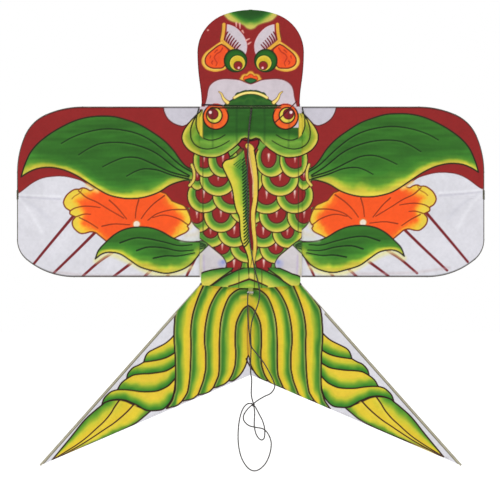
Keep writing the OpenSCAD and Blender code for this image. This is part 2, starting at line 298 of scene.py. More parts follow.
def thread_material(name, dark, light):
    """Twisted thread: fine slanting plies with fuzz."""
    s = Shader(name, 0.8, specular=0.2, sheen=0.25, sheen_roughness=0.6)
    ply = s.wave(1900, (0.9, 0.9, 0), 1.5)
    fuzz = s.noise(4200, 2)
    s.paint(s.ramp(s.mean(ply, fuzz), (0.25, dark), (0.75, light)))
    s.rough(fuzz, 0.7, 0.9)
    s.bump(ply, 0.00012, 0.7)
    return s.material


def brass_material():
    """Dull drawn brass with handling marks and darker tarnish."""
    s = Shader("ferrule_brass", 0.35, metallic=1.0)
    drawn = s.noise(1800, 2, (0.02, 1, 1))
    tarnish = s.noise(220, 5)
    s.paint(s.ramp(tarnish, (0.35, (0.28, 0.19, 0.075)), (0.6, (0.66, 0.48, 0.2))))
    s.rough(s.mean(drawn, tarnish), 0.22, 0.5)
    s.bump(drawn, 0.00003, 0.5)
    return s.material


PAINTED = silk_material("painted_silk")
SPLIT = ((0.36, 0.27, 0.14), (0.56, 0.44, 0.26), (0.7, 0.58, 0.37))
WEATHERED = ((0.22, 0.2, 0.14), (0.36, 0.34, 0.25), (0.5, 0.47, 0.36))
SMOKED = ((0.05, 0.044, 0.036), (0.1, 0.09, 0.075), (0.19, 0.175, 0.15))
BAMBOO = {
    "x": bamboo_material("bamboo", SPLIT, (0.03, 1, 1)),
    "z": bamboo_material("bamboo_upright", SPLIT, (1, 1, 0.03)),
    "spine": bamboo_material("bamboo_spine", SPLIT, (1, 1, 0.03), -0.266),
    "pale": bamboo_material("bamboo_pale", WEATHERED, (0.1, 1, 0.1)),
    "dark": bamboo_material("bamboo_dark", SMOKED, (0.05, 1, 0.2)),
}
BRASS = brass_material()
WAXED = thread_material("binding_thread", (0.035, 0.032, 0.018), (0.12, 0.11, 0.06))
SEAM_THREAD = thread_material("seam_thread", (0.20, 0.11, 0.09), (0.36, 0.24, 0.2))
WHITE_THREAD = thread_material("white_thread", (0.34, 0.33, 0.29), (0.6, 0.58, 0.54))
BRIDLE_THREAD = thread_material("bridle_thread", (0.010, 0.008, 0.007), (0.045, 0.035, 0.03))
TAPE = silk_material("sewn_loop", (0.07, 0.22, 0.08), (0.12, 0.34, 0.14))


# Bridle ----------------------------------------------------------------------------------------


def trefoil(centre, size, radius, turn=0.0):
    """A small overhand knot pulled tight, as one closed strand."""
    t = np.linspace(0, 2 * math.pi, 60, endpoint=False)
    x, z = np.sin(t) + 2 * np.sin(2 * t), np.cos(t) - 2 * np.cos(2 * t)
    across, up = x * math.cos(turn) - z * math.sin(turn), x * math.sin(turn) + z * math.cos(turn)
    return np.array(centre) + size * np.stack([across / 3, -0.62 * np.sin(3 * t), up / 3], 1), radius


def add_knot(name, knots, material, slot, extra=None):
    """Knots in one piece that stands for the CAD node."""
    tubes = Tubes()
    for points, radius in knots:
        tubes.add(points, radius, 7, closed=True)
    if extra:
        extra(tubes)
    return tubes.piece(name + "_knot", "centre_frame", material, slot, name)


PLY, PLY_OFFSET = 0.62, 0.46  # radius of one ply, and how far it lies from the thread's middle
LAY, STEP = 3.8, 0.42  # length of one twist, and the step between points


def twisted_thread(name, route):
    """A two-ply thread along a route, and the soft line it follows."""
    line = curve_through(route, STEP)
    along = np.gradient(line, axis=0)
    along /= np.linalg.norm(along, axis=1)[:, None]
    side = np.cross(along, (0.0, 1.0, 0.0))
    side /= np.linalg.norm(side, axis=1)[:, None]
    up = np.cross(along, side)
    turn = (2 * math.pi / LAY * STEP * np.arange(len(line)))[:, None]
    tubes = Tubes()
    for start in (0, math.pi):
        tubes.add(line + PLY_OFFSET * (np.cos(turn + start) * side + np.sin(turn + start) * up), PLY)
    return tubes.piece(name + "_thread", "centre_frame", BRIDLE_THREAD, "bridle_thread", name), line


UPPER_LEG = [
    (1, -5.8, -5.5), (0, -6.2, -12), (-2, -6.5, -28), (-3.5, -6.6, -48), (-4.5, -6.7, -75),
    (-5, -6.8, -105), (-5, -6.9, -135), (-4, -6.9, -165), (-2, -6.9, -195), (2, -6.9, -222),
    (7, -6.8, -246), (12, -6.7, -266), (13.5, -6.6, -280), (11, -6.5, -294), (6.5, -6.5, -307),
    (2, -6.5, -320), (0, -6.5, -337), (0.5, -6.5, -357), (0, -6.5, -380), (0, -6.4, -397),
    (1.5, -6.3, -408), (1, -6.1, -430), (4, -6, -443.5)]
LOWER_LEG = [
    (-4, -7.2, -278), (-4.5, -7.8, -290), (-4.5, -7.9, -308), (-3.5, -8, -326), (-1.5, -8, -343),
    (0.5, -8, -357), (10, -8, -370), (20, -8, -383), (29, -8, -399), (35, -8, -412),
    (35.5, -8, -420), (30, -8, -428), (20, -8, -433), (10, -8, -439), (2, -8.4, -445.5),
    (-5, -8.6, -452), (-10.5, -8.6, -461), (-10, -8.6, -469), (-3, -8.6, -476), (8, -8.6, -479),
    (18, -8.6, -481), (25, -8.6, -487), (30, -8.6, -498), (30.5, -8.6, -509), (27.5, -8.6, -522),
    (22, -8.6, -533), (14, -8.6, -541), (5.5, -8.6, -544), (-3, -8.6, -540.5), (-10.5, -8.6, -531),
    (-15.5, -8.6, -519), (-18.5, -8.6, -502), (-18.5, -8.6, -482), (-16, -8.4, -464),
    (-11.5, -7.8, -451), (-5, -7.4, -444), (2.5, -7.2, -443.5)]
TOW_LOOP = [
    (5, -5.8, -448.5), (6, -5.6, -458), (5.5, -5.6, -468), (5.5, -5.6, -478), (8, -5.6, -489),
    (12.5, -5.6, -496), (17, -5.6, -498), (20.5, -5.6, -494), (21, -5.6, -482), (18, -5.6, -470),
    (13, -5.6, -460), (7.5, -5.8, -449.5), (5, -6.2, -447)]


def declare_thread(name, route):
    """Makes a bridle thread along its route."""
    piece, line = twisted_thread(name, route)


def spine_turns(tubes):
    """Turns of the lower tie round the end of the spine."""
    for k in range(4):
        z = -278.4 + 0.7 * k
        ring = [(-3.9, -4.3, z), (0, -4.45, z + 0.2), (3.9, -4.3, z), (3.95, -2.7, z + 0.1),
            (3.9, -1.1, z), (0, -0.95, z - 0.2), (-3.9, -1.1, z), (-3.95, -2.7, z - 0.1)]
        tubes.add(ring, 0.34, 6, closed=True)


upper_tie = add_knot("upper_tie", [trefoil((1, -5.9, -4), 1.15, 0.42)], BRIDLE_THREAD, "binding_thread")
lower_tie = add_knot(
    "lower_tie", [trefoil((-4, -5.75, -277), 1.3, 0.45, 0.6)], WHITE_THREAD, "white_thread", spine_turns)
leg_knot = add_knot("leg_knot", [trefoil((0.5, -7.25, -357), 1.25, 0.45, 1.2)], BRIDLE_THREAD,
    "binding_thread")
tow_knot = add_knot(
    "tow_knot", [trefoil((4, -7, -446), 2.2, 0.62, 0.4), trefoil((4.2, -6.6, -445.6), 1.7, 0.6, 2.2)],
    BRIDLE_THREAD, "binding_thread")
declare_thread("bridle_upper_leg", UPPER_LEG)
declare_thread("bridle_lower_leg", LOWER_LEG)
declare_thread("tow_loop", TOW_LOOP)


# Painter ---------------------------------------------------------------------------------------

RED = (142, 34, 34)
LINE = (30, 12, 10)
INK = 0.3  # how far a painted edge spreads into the silk
WHITE = (215, 214, 221)
PALE = (204, 193, 200)
GOLD = (226, 170, 60)
CREAM = (246, 226, 130)
ORANGE = (240, 86, 32)


def shape(*runs):
    """A closed outline of soft curves that meet at corners."""
    return np.vstack([smooth(run) for run in runs])


def ramp(t, *stops):
    """The colour at each t between stops of (t, colour)."""
    places = [s[0] for s in stops]
    return np.stack([np.interp(t, places, [s[1][k] for s in stops]) for k in range(3)], 1)


def rise(value, start, end):
    """From 0 at start to 1 at end, and level beyond them. The end may be the lower one."""
    return np.clip((value - start) / (end - start), 0, 1)


def noise(x, z, size, seed):
    """Smooth value noise from -1 to 1, in blobs about size across."""
    table = np.random.RandomState(seed).uniform(-1, 1, (97, 97))
    i, j = np.floor(x / size).astype(int), np.floor(z / size).astype(int)
    a, b = x / size - i, z / size - j
    a, b = a * a * (3 - 2 * a), b * b * (3 - 2 * b)
    low = table[i % 97, j % 97] * (1 - a) + table[(i + 1) % 97, j % 97] * a
    high = table[i % 97, (j + 1) % 97] * (1 - a) + table[(i + 1) % 97, (j + 1) % 97] * a
    return low * (1 - b) + high * b


def mottled(amount, size, seed, *stops):
    """A rule for fill: stops by the distance inside, made uneven by noise."""
    return lambda d, x, z: ramp(d + amount * noise(x, z, size, seed), *stops)


def measure(x, z, line, closed=False):
    """Each point's distance to a line, how far along it (0 to 1) it lies, and whether it is inside."""
    ends = np.roll(line, -1, 0) if closed else line[1:]
    best, place = np.full(len(x), 1e9), np.zeros(len(x))
    inside = np.zeros(len(x), bool)
    for k, ((ax, az), (bx, bz)) in enumerate(zip(line, ends)):
        dx, dz = bx - ax, bz - az
        t = np.clip(((x - ax) * dx + (z - az) * dz) / max(dx * dx + dz * dz, 1e-9), 0, 1)
        gap = (x - ax - t * dx) ** 2 + (z - az - t * dz) ** 2
        nearer = gap < best
        best[nearer] = gap[nearer]
        place[nearer] = (k + t[nearer]) / len(ends)
        if closed and az != bz:
            inside ^= ((az > z) != (bz > z)) & (x < ax + (z - az) * dx / dz)
    return np.sqrt(best), place, inside


class Silk:
    """Paint on a piece of silk: a colour at each point (x, z), in millimetres."""

    def __init__(self, x, z, base):
        self.x, self.z, self.across = x, z, x
        self.rgb = np.tile(np.array(base, float), (len(x), 1))

    def near(self, line, margin):
        low, high = line.min(0) - margin, line.max(0) + margin
        inside = (self.across > low[0]) & (self.across < high[0])
        return np.nonzero(inside & (self.z > low[1]) & (self.z < high[1]))[0]

    def lay(self, pick, colour, cover):
        """Paints over the picked points, as far as cover (0 to 1) says."""
        cover = np.clip(cover, 0, 1)[:, None]
        self.rgb[pick] = self.rgb[pick] * (1 - cover) + np.asarray(colour, float) * cover

    def fill(self, outline, colour, edge=None, width=1.1, soft=0.7, strength=1.0, ceiling=999):
        """Fills an outline below a ceiling. The colour may be stops by the distance inside it,
        or a rule of that distance, x and z."""
        pick = self.near(outline, 3 + width)
        if not len(pick):
            return
        x, z = self.across[pick], self.z[pick]
        gap, _, inside = measure(x, z, outline, True)
        depth = np.where(inside, gap, -gap)
        below = np.clip((ceiling - z) / soft, 0, 1)
        if isinstance(colour, list):
            colour = ramp(np.maximum(depth, 0), *colour)
        elif callable(colour):
            colour = colour(np.maximum(depth, 0), x, z)
        if colour is not None:
            self.lay(pick, colour, below * strength * np.clip(depth / soft + 0.5, 0, 1))
        if edge is not None:
            self.lay(pick, edge, below * np.clip((width / 2 + INK - gap) / soft + 0.5, 0, 1))

    def stroke(self, points, width, colour, soft=0.7, strength=1.0):
        """A brush line. The width may be (start, end)."""
        line = smooth(points)
        start, end = width if isinstance(width, tuple) else (width, width)
        pick = self.near(line, 2 + max(start, end))
        if not len(pick):
            return
        gap, place, _ = measure(self.across[pick], self.z[pick], line)
        half = (start + (end - start) * place) / 2 + INK
        self.lay(pick, colour, strength * np.minimum((half - gap) / soft + 0.5, half / soft + 0.5))

    def spot(self, x, z, radius, colour, edge=None, width=1.1, tall=None, **how):
        """A round spot, or an oval one if tall is given."""
        turn = np.linspace(0, 2 * np.pi, 40, endpoint=False)
        oval = np.stack([x + radius * np.cos(turn), z + (tall or radius) * np.sin(turn)], 1)
        self.fill(oval, colour, edge, width, **how)

    def finish(self, seed):
        """Uneven dye, then the colours as linear light."""
        x, z = self.x, self.z
        dye = (0.014 * noise(x, z, 9, seed) + 0.016 * noise(x, z, 3.1, seed + 1)
               + 0.018 * noise(x, z, 41, seed + 2))
        rgb = np.clip(self.rgb * (1 + dye[:, None]) / 255, 0, 1)
        return np.where(rgb < 0.04045, rgb / 12.92, ((rgb + 0.055) / 1.055) ** 2.4)


def to_line(points):
    line = smooth(points)
    return lambda x, z: measure(x, z, line)[0]


# Head ------------------------------------------------------------------------------------------

def dragon_eye(silk):
    """The fish's bulging eye, which crosses the seam between head and body."""
    silk.spot(52.3, -14, 18.8, mottled(1.5, 5, 9, (0, (232, 84, 34)), (3, (240, 102, 34)),
        (9, (228, 88, 36))), LINE, 1.3)
    silk.stroke([(36, -4), (42, 2), (50, 5), (58, 4), (66, -1)], 0.9, (190, 50, 30))
    silk.spot(54.5, -12, 11.8, [(0, (200, 186, 56)), (3, (224, 208, 80))], LINE, 1.2)
    silk.spot(56.5, -10, 7.6, (132, 28, 38), (92, 26, 26), 1)
    silk.spot(60.3, -7.4, 2.3, (240, 214, 216))


def paint_head(silk):
    silk.across = np.abs(silk.x)
    cap = shape([(60, 150), (46, 143.5), (41, 139), (34, 131.5), (27, 128), (19, 126), (11, 123),
        (6, 118.5), (0, 116.5), (-6, 116.5)], [(-6, 160), (60, 160)])

    def cap_shade(d, x, z):
        height = z - 127 - 0.0165 * x * x + 1.1 * noise(x, z, 7, 4)
        shade = ramp(height, (-12, (206, 188, 96)), (-5, (192, 186, 84)), (-2, (140, 166, 62)),
            (1.5, (64, 126, 42)), (6, (36, 92, 30)), (13, (32, 78, 26)))
        return shade + (np.array((176, 164, 84)) - shade) * 0.7 * rise(x, 34, 48)[:, None]

    silk.fill(cap, cap_shade, (150, 110, 60), 0.7, 1.6)
    brow = shape([(35.5, 124.5), (30, 123.3), (22, 119.5), (14, 112), (8.5, 103.5), (5.5, 95), (5.7, 86),
        (8, 78)], [(17, 82), (27, 86), (40, 98)], [(40, 99), (36, 111)])
    silk.fill(brow, [(0, (222, 190, 200)), (1.8, PALE)], None)
    silk.stroke([(37, 102), (31, 94), (22, 87)], 9, (220, 130, 140), 5, 0.35)
    for k in range(7):
        top, foot = (34.2 - 3.1 * k, 113 - 3.2 * k), (39.6 - 2.8 * k, 99.6 - 2.6 * k)
        silk.stroke([top, ((top[0] + foot[0]) / 2 + 0.9, (top[1] + foot[1]) / 2), foot], (1.2, 2.4),
            (104, 26, 32))
    silk.stroke([(41, 123.5), (41.7, 113), (43.5, 102), (38, 96), (27, 86.5)], 5, (120, 60, 30))
    silk.stroke([(40, 124.5), (40.8, 113), (43, 101)], 4, GOLD)
    silk.stroke([(43, 100), (36, 94), (26, 86)], 4, GOLD)
    ear = shape([(42, 101), (47, 97.5), (53, 93.5), (61, 87.5), (68, 82), (73, 74), (73.4, 66), (70, 60),
        (65, 56), (54, 53.2), (43, 55), (36, 59), (34, 70), (35, 84)])
    silk.fill(ear, [(0, (206, 134, 50)), (1.2, GOLD), (3.5, (236, 198, 90))])
    pad = shape([(43.6, 94.6), (49, 92), (53, 89), (63.4, 80.4), (68, 72.6), (66.8, 64.4), (59, 59.2),
        (48.5, 58.6), (41, 60), (37, 68), (35, 78), (33.5, 86), (38, 91)])
    silk.fill(pad, mottled(2, 5, 6, (0, (228, 84, 30)), (3, ORANGE), (12, (228, 76, 36))), (110, 34, 20),
        1.2)
    for swirl in ([(42, 89), (45.5, 83.5), (51, 80), (54.4, 75), (52.5, 70.5), (50.4, 66.5), (52, 62)],
            [(50, 86), (52.5, 84), (54, 82)], [(57, 69.5), (58.5, 67), (57, 64.5)],
            [(60, 77), (61, 73.5)]):
        silk.stroke(swirl, (1.3, 0.6), (176, 50, 24))
    silk.spot(22.7, 70, 16.9, [(0, (24, 62, 22)), (3, (34, 92, 26)), (6, (38, 98, 28))], (32, 40, 18),
        1.1)
    silk.spot(19.8, 66.4, 12, [(0, (240, 214, 90)), (3, (212, 184, 52)), (8, (206, 178, 40))],
        (24, 64, 20), 0.9)
    silk.spot(18.9, 62.6, 6.2, (140, 30, 34), (96, 50, 20), 0.9)
    silk.spot(17.9, 59.2, 1.7, (244, 190, 196))
    nose = shape([(-4, 53.5), (0, 54.5), (3, 53.6), (6, 50.5), (10, 50), (13, 48.4), (15, 45),
        (16.6, 42.2), (13, 40.5), (8, 39), (0, 38), (-4, 38)])
    silk.fill(nose, GOLD, (170, 90, 30), 0.8)
    silk.fill(shape([(-4, 49.5), (0, 50), (3, 48.6), (5, 46.6), (8.5, 47), (10.6, 43.4), (9, 40.5),
        (0, 38)], [(-4, 38), (-4, 45)]), ORANGE, (180, 70, 30), 0.8)
    silk.fill(shape([(-4, 43.8), (0, 43.6), (5, 42.4), (8.6, 40.6), (5, 38), (0, 36.2), (-4, 37)]),
        (40, 100, 50), (20, 56, 24), 0.8)
    muzzle = shape([(69.5, 2), (67.5, 8), (65.5, 16), (64, 26), (60.6, 33.6), (53, 39.6), (43, 42.6),
        (29, 42.6), (16.4, 41), (8.4, 37.8), (0, 35), (-6, 37)], [(-6, -20), (70, -20)])
    silk.fill(muzzle, [(0, (226, 176, 176)), (1.4, (212, 194, 202)), (3, PALE)], (110, 46, 46), 0.7)
    silk.fill(shape([(-5, 25.8), (0, 25.8), (4, 25), (8, 25.2), (13, 23.8), (16, 22.4), (20, 21.6),
        (22.5, 19), (24, 15)], [(20, 12), (-5, 12)]), (34, 88, 34), (20, 44, 18), 0.8)
    snout = shape([(-5, 20.8), (0, 20.8), (7, 20.3), (13, 18.6), (19, 16.2), (24.4, 13.2), (29, 10.6),
        (33.6, 7.6), (38, 4.6), (41.5, 1)], [(41.5, -30), (-5, -30)])

    def ridge(d, x, z):
        return ramp(d + 0.4 * np.abs(x - 10) + 2 * noise(x, z, 5, 14), (0, (32, 80, 28)),
            (5, (34, 86, 32)), (9, (52, 104, 36)), (14, (38, 88, 32)))

    silk.fill(snout, ridge, (16, 40, 18), 0.9)
    silk.stroke([(-5, 22), (0, 22), (7, 21.5), (13, 20), (19, 17.6), (25, 14.2)], (3.2, 3.6),
        (128, 74, 30))
    silk.stroke([(-5, 22), (0, 22), (7, 21.5), (13, 20), (19, 17.6), (24.4, 14.6)], (2.3, 2.8), CREAM)
    barbel = [(47.4, 23.4), (43.6, 20), (41.4, 14.6), (38.5, 10.6), (34.6, 7.4)]
    silk.stroke(barbel, (1.6, 6.2), (96, 52, 24))
    silk.stroke(barbel, (0.4, 4.2), (246, 218, 118))
    dragon_eye(silk)
    silk.across = silk.x
    for scuff in ([(-21.6, 126.5), (-21.4, 120.8)], [(-16.4, 125.5), (-15.8, 118)],
            [(-12.4, 114.6), (-10.4, 111.4)], [(-6.6, 100.6), (-1.6, 103)], [(-3.6, 95), (0.6, 97.8)],
            [(-64, 115.6), (-63, 115.2)]):
        silk.stroke(scuff, (2.4, 0.8), (226, 160, 150), strength=0.8)
    silk.stroke([(-71, 3.9), (-58, 3.4), (-43, 2.7)], 1.9, (38, 20, 32))
    silk.stroke([(-43, 2.4), (-20, 2), (0, 1.8), (30, 2.2), (45, 2.6)], 1.6, (26, 26, 14))
    silk.stroke([(69, 9), (60, 0), (46, -14), (36, -23)], 0.9, (70, 26, 26))


# Body ------------------------------------------------------------------------------------------

ROWS = [[(-25, -236, 24, 24), (19.7, -236, 24, 24)], [(-42.5, -210, 24, 23), (-3, -209, 27, 23),
    (38, -210, 24, 23)], [(-60, -186, 24, 23), (-24.5, -186, 24.5, 22.7), (19, -187, 24, 22.3),
    (55, -187.5, 22, 22.3)], [(-81, -162, 25, 25), (-44.5, -160.5, 25.3, 25.8), (-3.6, -150, 28, 25),
    (39, -161, 26, 25.6), (80, -162, 25, 25)], [(-70, -131.5, 26, 25.5), (-27.5, -132.5, 29, 25.7),
    (24, -133, 28, 25.7), (66, -132.5, 27, 25.5)], [(-80, -101, 12.5, 22, 5), (80, -101, 12.5, 22, 5),
    (-1, -104, 20, 26), (-48.5, -106, 27.5, 26), (44, -106, 27.5, 26)],
    [(-66.5, -78, 20, 26, 5, -3), (-41.5, -78, 22, 26), (31, -77.5, 23.5, 26, 12, -4),
    (64.5, -79, 20.5, 25.6, 5, 2)]]


def scale(silk, cx, cz, wide, tall, side=12, lean=0.0):
    """One fish scale: a shaded green crescent round a red middle with a white spike."""
    inner_wide, inner_tall, top = wide - side, tall - 10, cz + (12 if cz < -90 else 26)

    def crescent(d, x, z):
        inner = np.hypot((x - cx - lean) / inner_wide, (z - cz - 3) / inner_tall) - 1
        rim = 1 - np.hypot((x - cx) / wide, (z - cz) / tall)
        t = np.clip(inner * inner_wide / np.maximum(inner * inner_wide + rim * wide, 0.1), 0, 1)
        warm = 14 * noise(x, z, 14, 5)[:, None] * np.array([1, 0.25, 0])
        green = warm + ramp(
            t, (0, (140, 164, 84)), (0.12, (98, 140, 56)), (0.3, (76, 134, 44)),
            (0.46, (104, 154, 50)), (0.62, (160, 182, 60)), (0.8, (198, 196, 74)), (1, (226, 194, 96)))
        return np.where(inner[:, None] < 0, RED, green)

    silk.spot(cx, cz - 0.4, wide + 0.4, crescent, (44, 32, 12), 1.05, tall + 0.6, ceiling=top)
    silk.spot(cx + lean, cz + 3, inner_wide, None, (62, 30, 22), 0.9, inner_tall, ceiling=top - 4)
    cx = cx + lean
    spike = shape([(cx - 1.9, cz + 7.6), (cx + 0.2, cz + 8.6), (cx + 1.9, cz + 7.2)],
        [(cx + 1.9, cz + 7.2), (cx + 0.8, cz + 1), (cx - 0.2, cz - 3.4)],
        [(cx - 0.2, cz - 3.4), (cx - 1, cz + 2)])
    silk.fill(spike, (228, 204, 196), (190, 110, 104), 0.7)


def fish_face(silk):
    """The green face and cheeks, in mirrored coordinates, on the body and on the wings' inner edge."""
    cheek = [(75, -6), (81, -11), (88, -18), (94.6, -26), (99.8, -34), (102.8, -43), (101.2, -53),
        (93.6, -63), (84, -69), (75, -72.6), (66, -74.6), (54, -75), (42, -71.4), (34, -66.6),
        (27, -61.8), (17.6, -53.4), (13.5, -47.6)]
    middle = [(13, -47.4), (8, -46), (3, -47.6), (0, -48.6), (-5, -47)]
    rim = to_line(cheek + middle)
    face = shape(cheek, middle, [(-5, 30), (60, 30)], [(72, 2), (75, -6)])

    def shade(d, x, z):
        edge = rim(x, z) + 1.3 * noise(x, z, 14, 8)
        level = z + 2 * noise(x, z, 18, 9) + 0.06 * x
        front = ramp(level, (-78, (124, 166, 56)), (-58, (100, 150, 50)), (-48, (112, 160, 56)),
            (-42, (80, 136, 44)), (-36, (40, 92, 28)), (-18, (42, 94, 30)), (0, (46, 100, 34)))
        outer = ramp(edge, (0, (222, 184, 80)), (3.5, (196, 184, 62)), (6.5, (164, 172, 50)),
            (10, (132, 156, 48)), (12, (120, 146, 44)), (17, (122, 164, 52)), (24, (78, 138, 44)))
        front = front * (1 + 0.07 * noise(0.2 * x, z, 3, 10)[:, None])
        share = rise(x, 75, 77)[:, None]
        warm = rise(edge, 6, 0)[:, None]
        return (front * (1 - share) + outer * share) * (1 - warm) + np.array((212, 202, 84)) * warm

    silk.fill(face, shade, LINE, 1.2)


def cheek_lines(silk):
    dark = (28, 36, 16)
    silk.stroke([(76, 3), (79.5, -8), (81.6, -18), (81.4, -28), (78, -38), (70.6, -46), (60, -49.2),
        (48, -46.6), (38.4, -41.2)], (1.5, 0.9), dark)
    silk.stroke([(82.6, -14), (87.4, -24), (90.2, -36), (88.6, -48), (82, -57), (70, -62), (56.6, -61.5),
        (42.8, -56.4), (32, -50)], (1.5, 0.7), dark)


def paint_body(silk):
    silk.across = silk.x
    for row in ROWS:
        for place in row:
            scale(silk, *place)
    silk.spot(-82, -164, 9, (240, 150, 60), strength=0.35)
    silk.across = np.abs(silk.x)
    silk.stroke([(71.4, -46), (71.6, -120), (71.2, -190)], 1, (44, 56, 22), 1, 0.5)
    lobe = shape([(90, -184), (76, -196), (64.6, -204.5), (53, -214), (43.5, -222), (38.4, -229),
        (36.4, -235.5), (39.4, -242.4), (52.6, -247.6), (64.6, -252), (76, -257), (84, -261)],
        [(95, -262), (95, -184)])
    silk.fill(lobe, mottled(2, 10, 3, (0, (224, 212, 196)), (2, (210, 203, 200)), (6, (202, 196, 200))),
        (60, 40, 28), 1.1)
    silk.spot(43, -234, 6, (150, 156, 210), soft=5, strength=0.5)
    silk.spot(41, -231.5, 3, (110, 124, 200), soft=3, strength=0.5)
    silk.stroke([(79, -206), (75, -220), (76.5, -238), (73.5, -250)], 6, (208, 202, 158), 5, 0.5)
    silk.stroke([(70.5, -222), (69.4, -250)], 2.4, (170, 150, 196), 2, 0.35)
    tip = shape([(80, -200), (73, -200), (67, -202.6), (63.6, -206.6)],
        [(63.6, -206.6), (69, -212), (75, -217.6), (80, -221)])

    def slanting(d, x, z):
        return ramp(z + 0.6 * x, (-172, (150, 178, 74)), (-164, (88, 140, 56)), (-156, (44, 92, 36)))

    silk.fill(tip, slanting, (50, 60, 34), 0.9, strength=0.9)
    for k in range(4):
        silk.stroke([(78, -203 - 3.2 * k), (72 - 0.6 * k, -204 - 2.2 * k),
            (66.4 + 0.7 * k, -206.4 - 1.4 * k)], (1.3, 0.7), (24, 50, 20))
    # Face over the scales
    fish_face(silk)
    cheek_lines(silk)
    silk.fill(shape([(71.6, -3), (74.6, -9.6), (77.6, -17), (80, -25), (80.4, -33), (77.6, -40.5),
        (71.6, -46.5)], [(71.6, -46.5), (71.6, -3)]), (214, 192, 62), (96, 100, 36), 0.6)
    silk.across = silk.x
    silk.fill(shape([(-80, 5), (-62, 5)], [(-62, 5), (-66, 0), (-70, -7), (-71.4, -13)],
        [(-71.4, -3), (-80, -3)]), (206, 190, 198), None)
    silk.fill(shape([(58, 5), (80, 5)], [(80, 5), (80, -7), (72, -9)], [(72, -9), (71.8, -30.5)],
        [(71.8, -30.5), (58, -30.5)]), (200, 192, 200), None)
    silk.across = np.abs(silk.x)
    dragon_eye(silk)
    # Painted shade along the two folds pressed into the silk
    for fold in (20.5, 57):
        silk.stroke([(fold, 2), (fold + 0.6, -30), (fold - 0.4, -60)], 2.4, (20, 50, 20), 2.5, 0.25)
    silk.across = silk.x
    silk.stroke([(69, 9), (60, 0), (46, -14), (36, -23)], 1.1, (60, 22, 22))
    silk.stroke([(1, -2), (0.6, -8), (-1, -20), (-2.8, -36), (-4, -52)], (2, 1.3), (44, 26, 14))
    silk.stroke([(-60, -0.8), (-20, -0.9), (20, -0.9), (45, -0.8)], 1.4, (26, 26, 14), strength=0.8)
    silk.fill(shape([(-34, -66.5), (-27, -62), (-19.5, -56)],
        [(-15, -60), (-20, -65), (-26, -70.5), (-31, -74)]), [(0, (168, 188, 76)), (3, (104, 158, 60))],
        LINE, 1.1)
    silk.fill(
        shape([(11, -47.6), (17.6, -53.4), (23, -57.6)], [(18, -60), (13, -65), (10.6, -60), (12, -54)]),
        (108, 156, 58), None)
    mouth = shape([(-19.5, -55.5), (-12.4, -48)], [(-12.4, -48), (-8, -49.6), (-3.3, -50.4), (3, -49.6),
        (11.6, -47.4)], [(11.6, -47.4), (12.4, -53), (10, -59), (6.5, -64)],
        [(6.5, -64), (-4, -59), (-10, -62), (-13, -62.4)])
    silk.fill(mouth, (136, 26, 34), LINE, 1.2)
    dorsal_fin(silk)


def dorsal_fin(silk):
    left = [(-9.5, -61.5), (-13, -66.5), (-17.6, -70.4), (-26.8, -76.2), (-37, -79.2), (-41.6, -84),
        (-42, -89), (-36.6, -101), (-30.4, -114), (-27, -126), (-24.5, -143), (-21.4, -155),
        (-17.4, -164), (-16.2, -179), (-15, -195), (-11.6, -206), (-6.7, -217), (-3.8, -228),
        (-3.2, -239), (-1.5, -248)]
    fin = shape(left, [(1.5, -247), (4, -225), (2, -200), (-0.5, -175), (-1, -140), (-2, -110),
        (-4.5, -85), (-8, -62)])
    edge = to_line(left)

    def fin_shade(d, x, z):
        depth = edge(x, z) * np.interp(z, [-230, -200, -90], [1.7, 1.35, 1]) + 1.4 * noise(x, z, 8, 12)
        return ramp(depth, (0, (222, 198, 72)), (4, (216, 202, 66)), (10, (196, 198, 60)),
            (15, (146, 178, 52)), (20, (84, 142, 46)))

    silk.fill(fin, fin_shade, LINE, 1.3)
    spine = shape([(-9.5, -66), (-12, -77), (-10.5, -100), (-9.6, -124), (-8.4, -146), (-8.6, -164),
        (-4, -178)], [(-1, -178), (0, -150), (-0.6, -124), (-3, -95), (-6, -74)])
    silk.fill(spine, (66, 122, 56), None, strength=0.9)
    silk.stroke([(-13, -70), (-16, -82), (-14, -96)], 13, (84, 146, 52), 9, 0.75)
    for k in range(27):
        z = -73 - 5 * k
        x = -11 + 0.12 * k
        silk.stroke([(x - 1.6, z - 6), (x + 2.2, z - 2.4), (x + 7.4 - 0.08 * k, z + 2.6)], (1.5, 1.1),
            (16, 40, 20))
    for k in range(6):
        silk.stroke([(-25 + 2.6 * k, -86 - 2 * k), (-20 + 2.2 * k, -82 - 2 * k),
            (-14.5 + 1.4 * k, -78 - 2.2 * k)], (1.2, 0.8), (50, 96, 34), strength=0.8)
    silk.stroke([(-7.5, -60), (-5.8, -76), (-2.6, -95), (-0.4, -116), (0.6, -140), (0.2, -165),
        (-0.2, -188), (2.4, -212)], (5.6, 3.6), (126, 28, 34))
    strip = [(-3.8, -57.8), (1, -62), (3.4, -77), (6, -95), (7.4, -112), (6.6, -137), (3.6, -158),
        (4.4, -181), (6.6, -205), (4.6, -226), (1.4, -246)]
    silk.stroke(strip, (9.4, 5), (92, 40, 26))
    silk.stroke(strip, (7.4, 3.4), (226, 196, 78))
    silk.stroke([(-4, -60), (-2.6, -70), (0.6, -90), (3.6, -110), (3.4, -134)], (2.4, 1), (236, 196, 140),
        1.2, 0.8)
    silk.stroke([(5.5, -64), (9.8, -92), (11.4, -116), (10.4, -139), (7.6, -160)], (1.4, 0.9), LINE)


WAIST_SHADE = ((0, (60, 110, 44)), (2.5, (58, 122, 42)), (6, (98, 156, 52)), (11, (168, 186, 70)),
    (17, (212, 200, 78)))


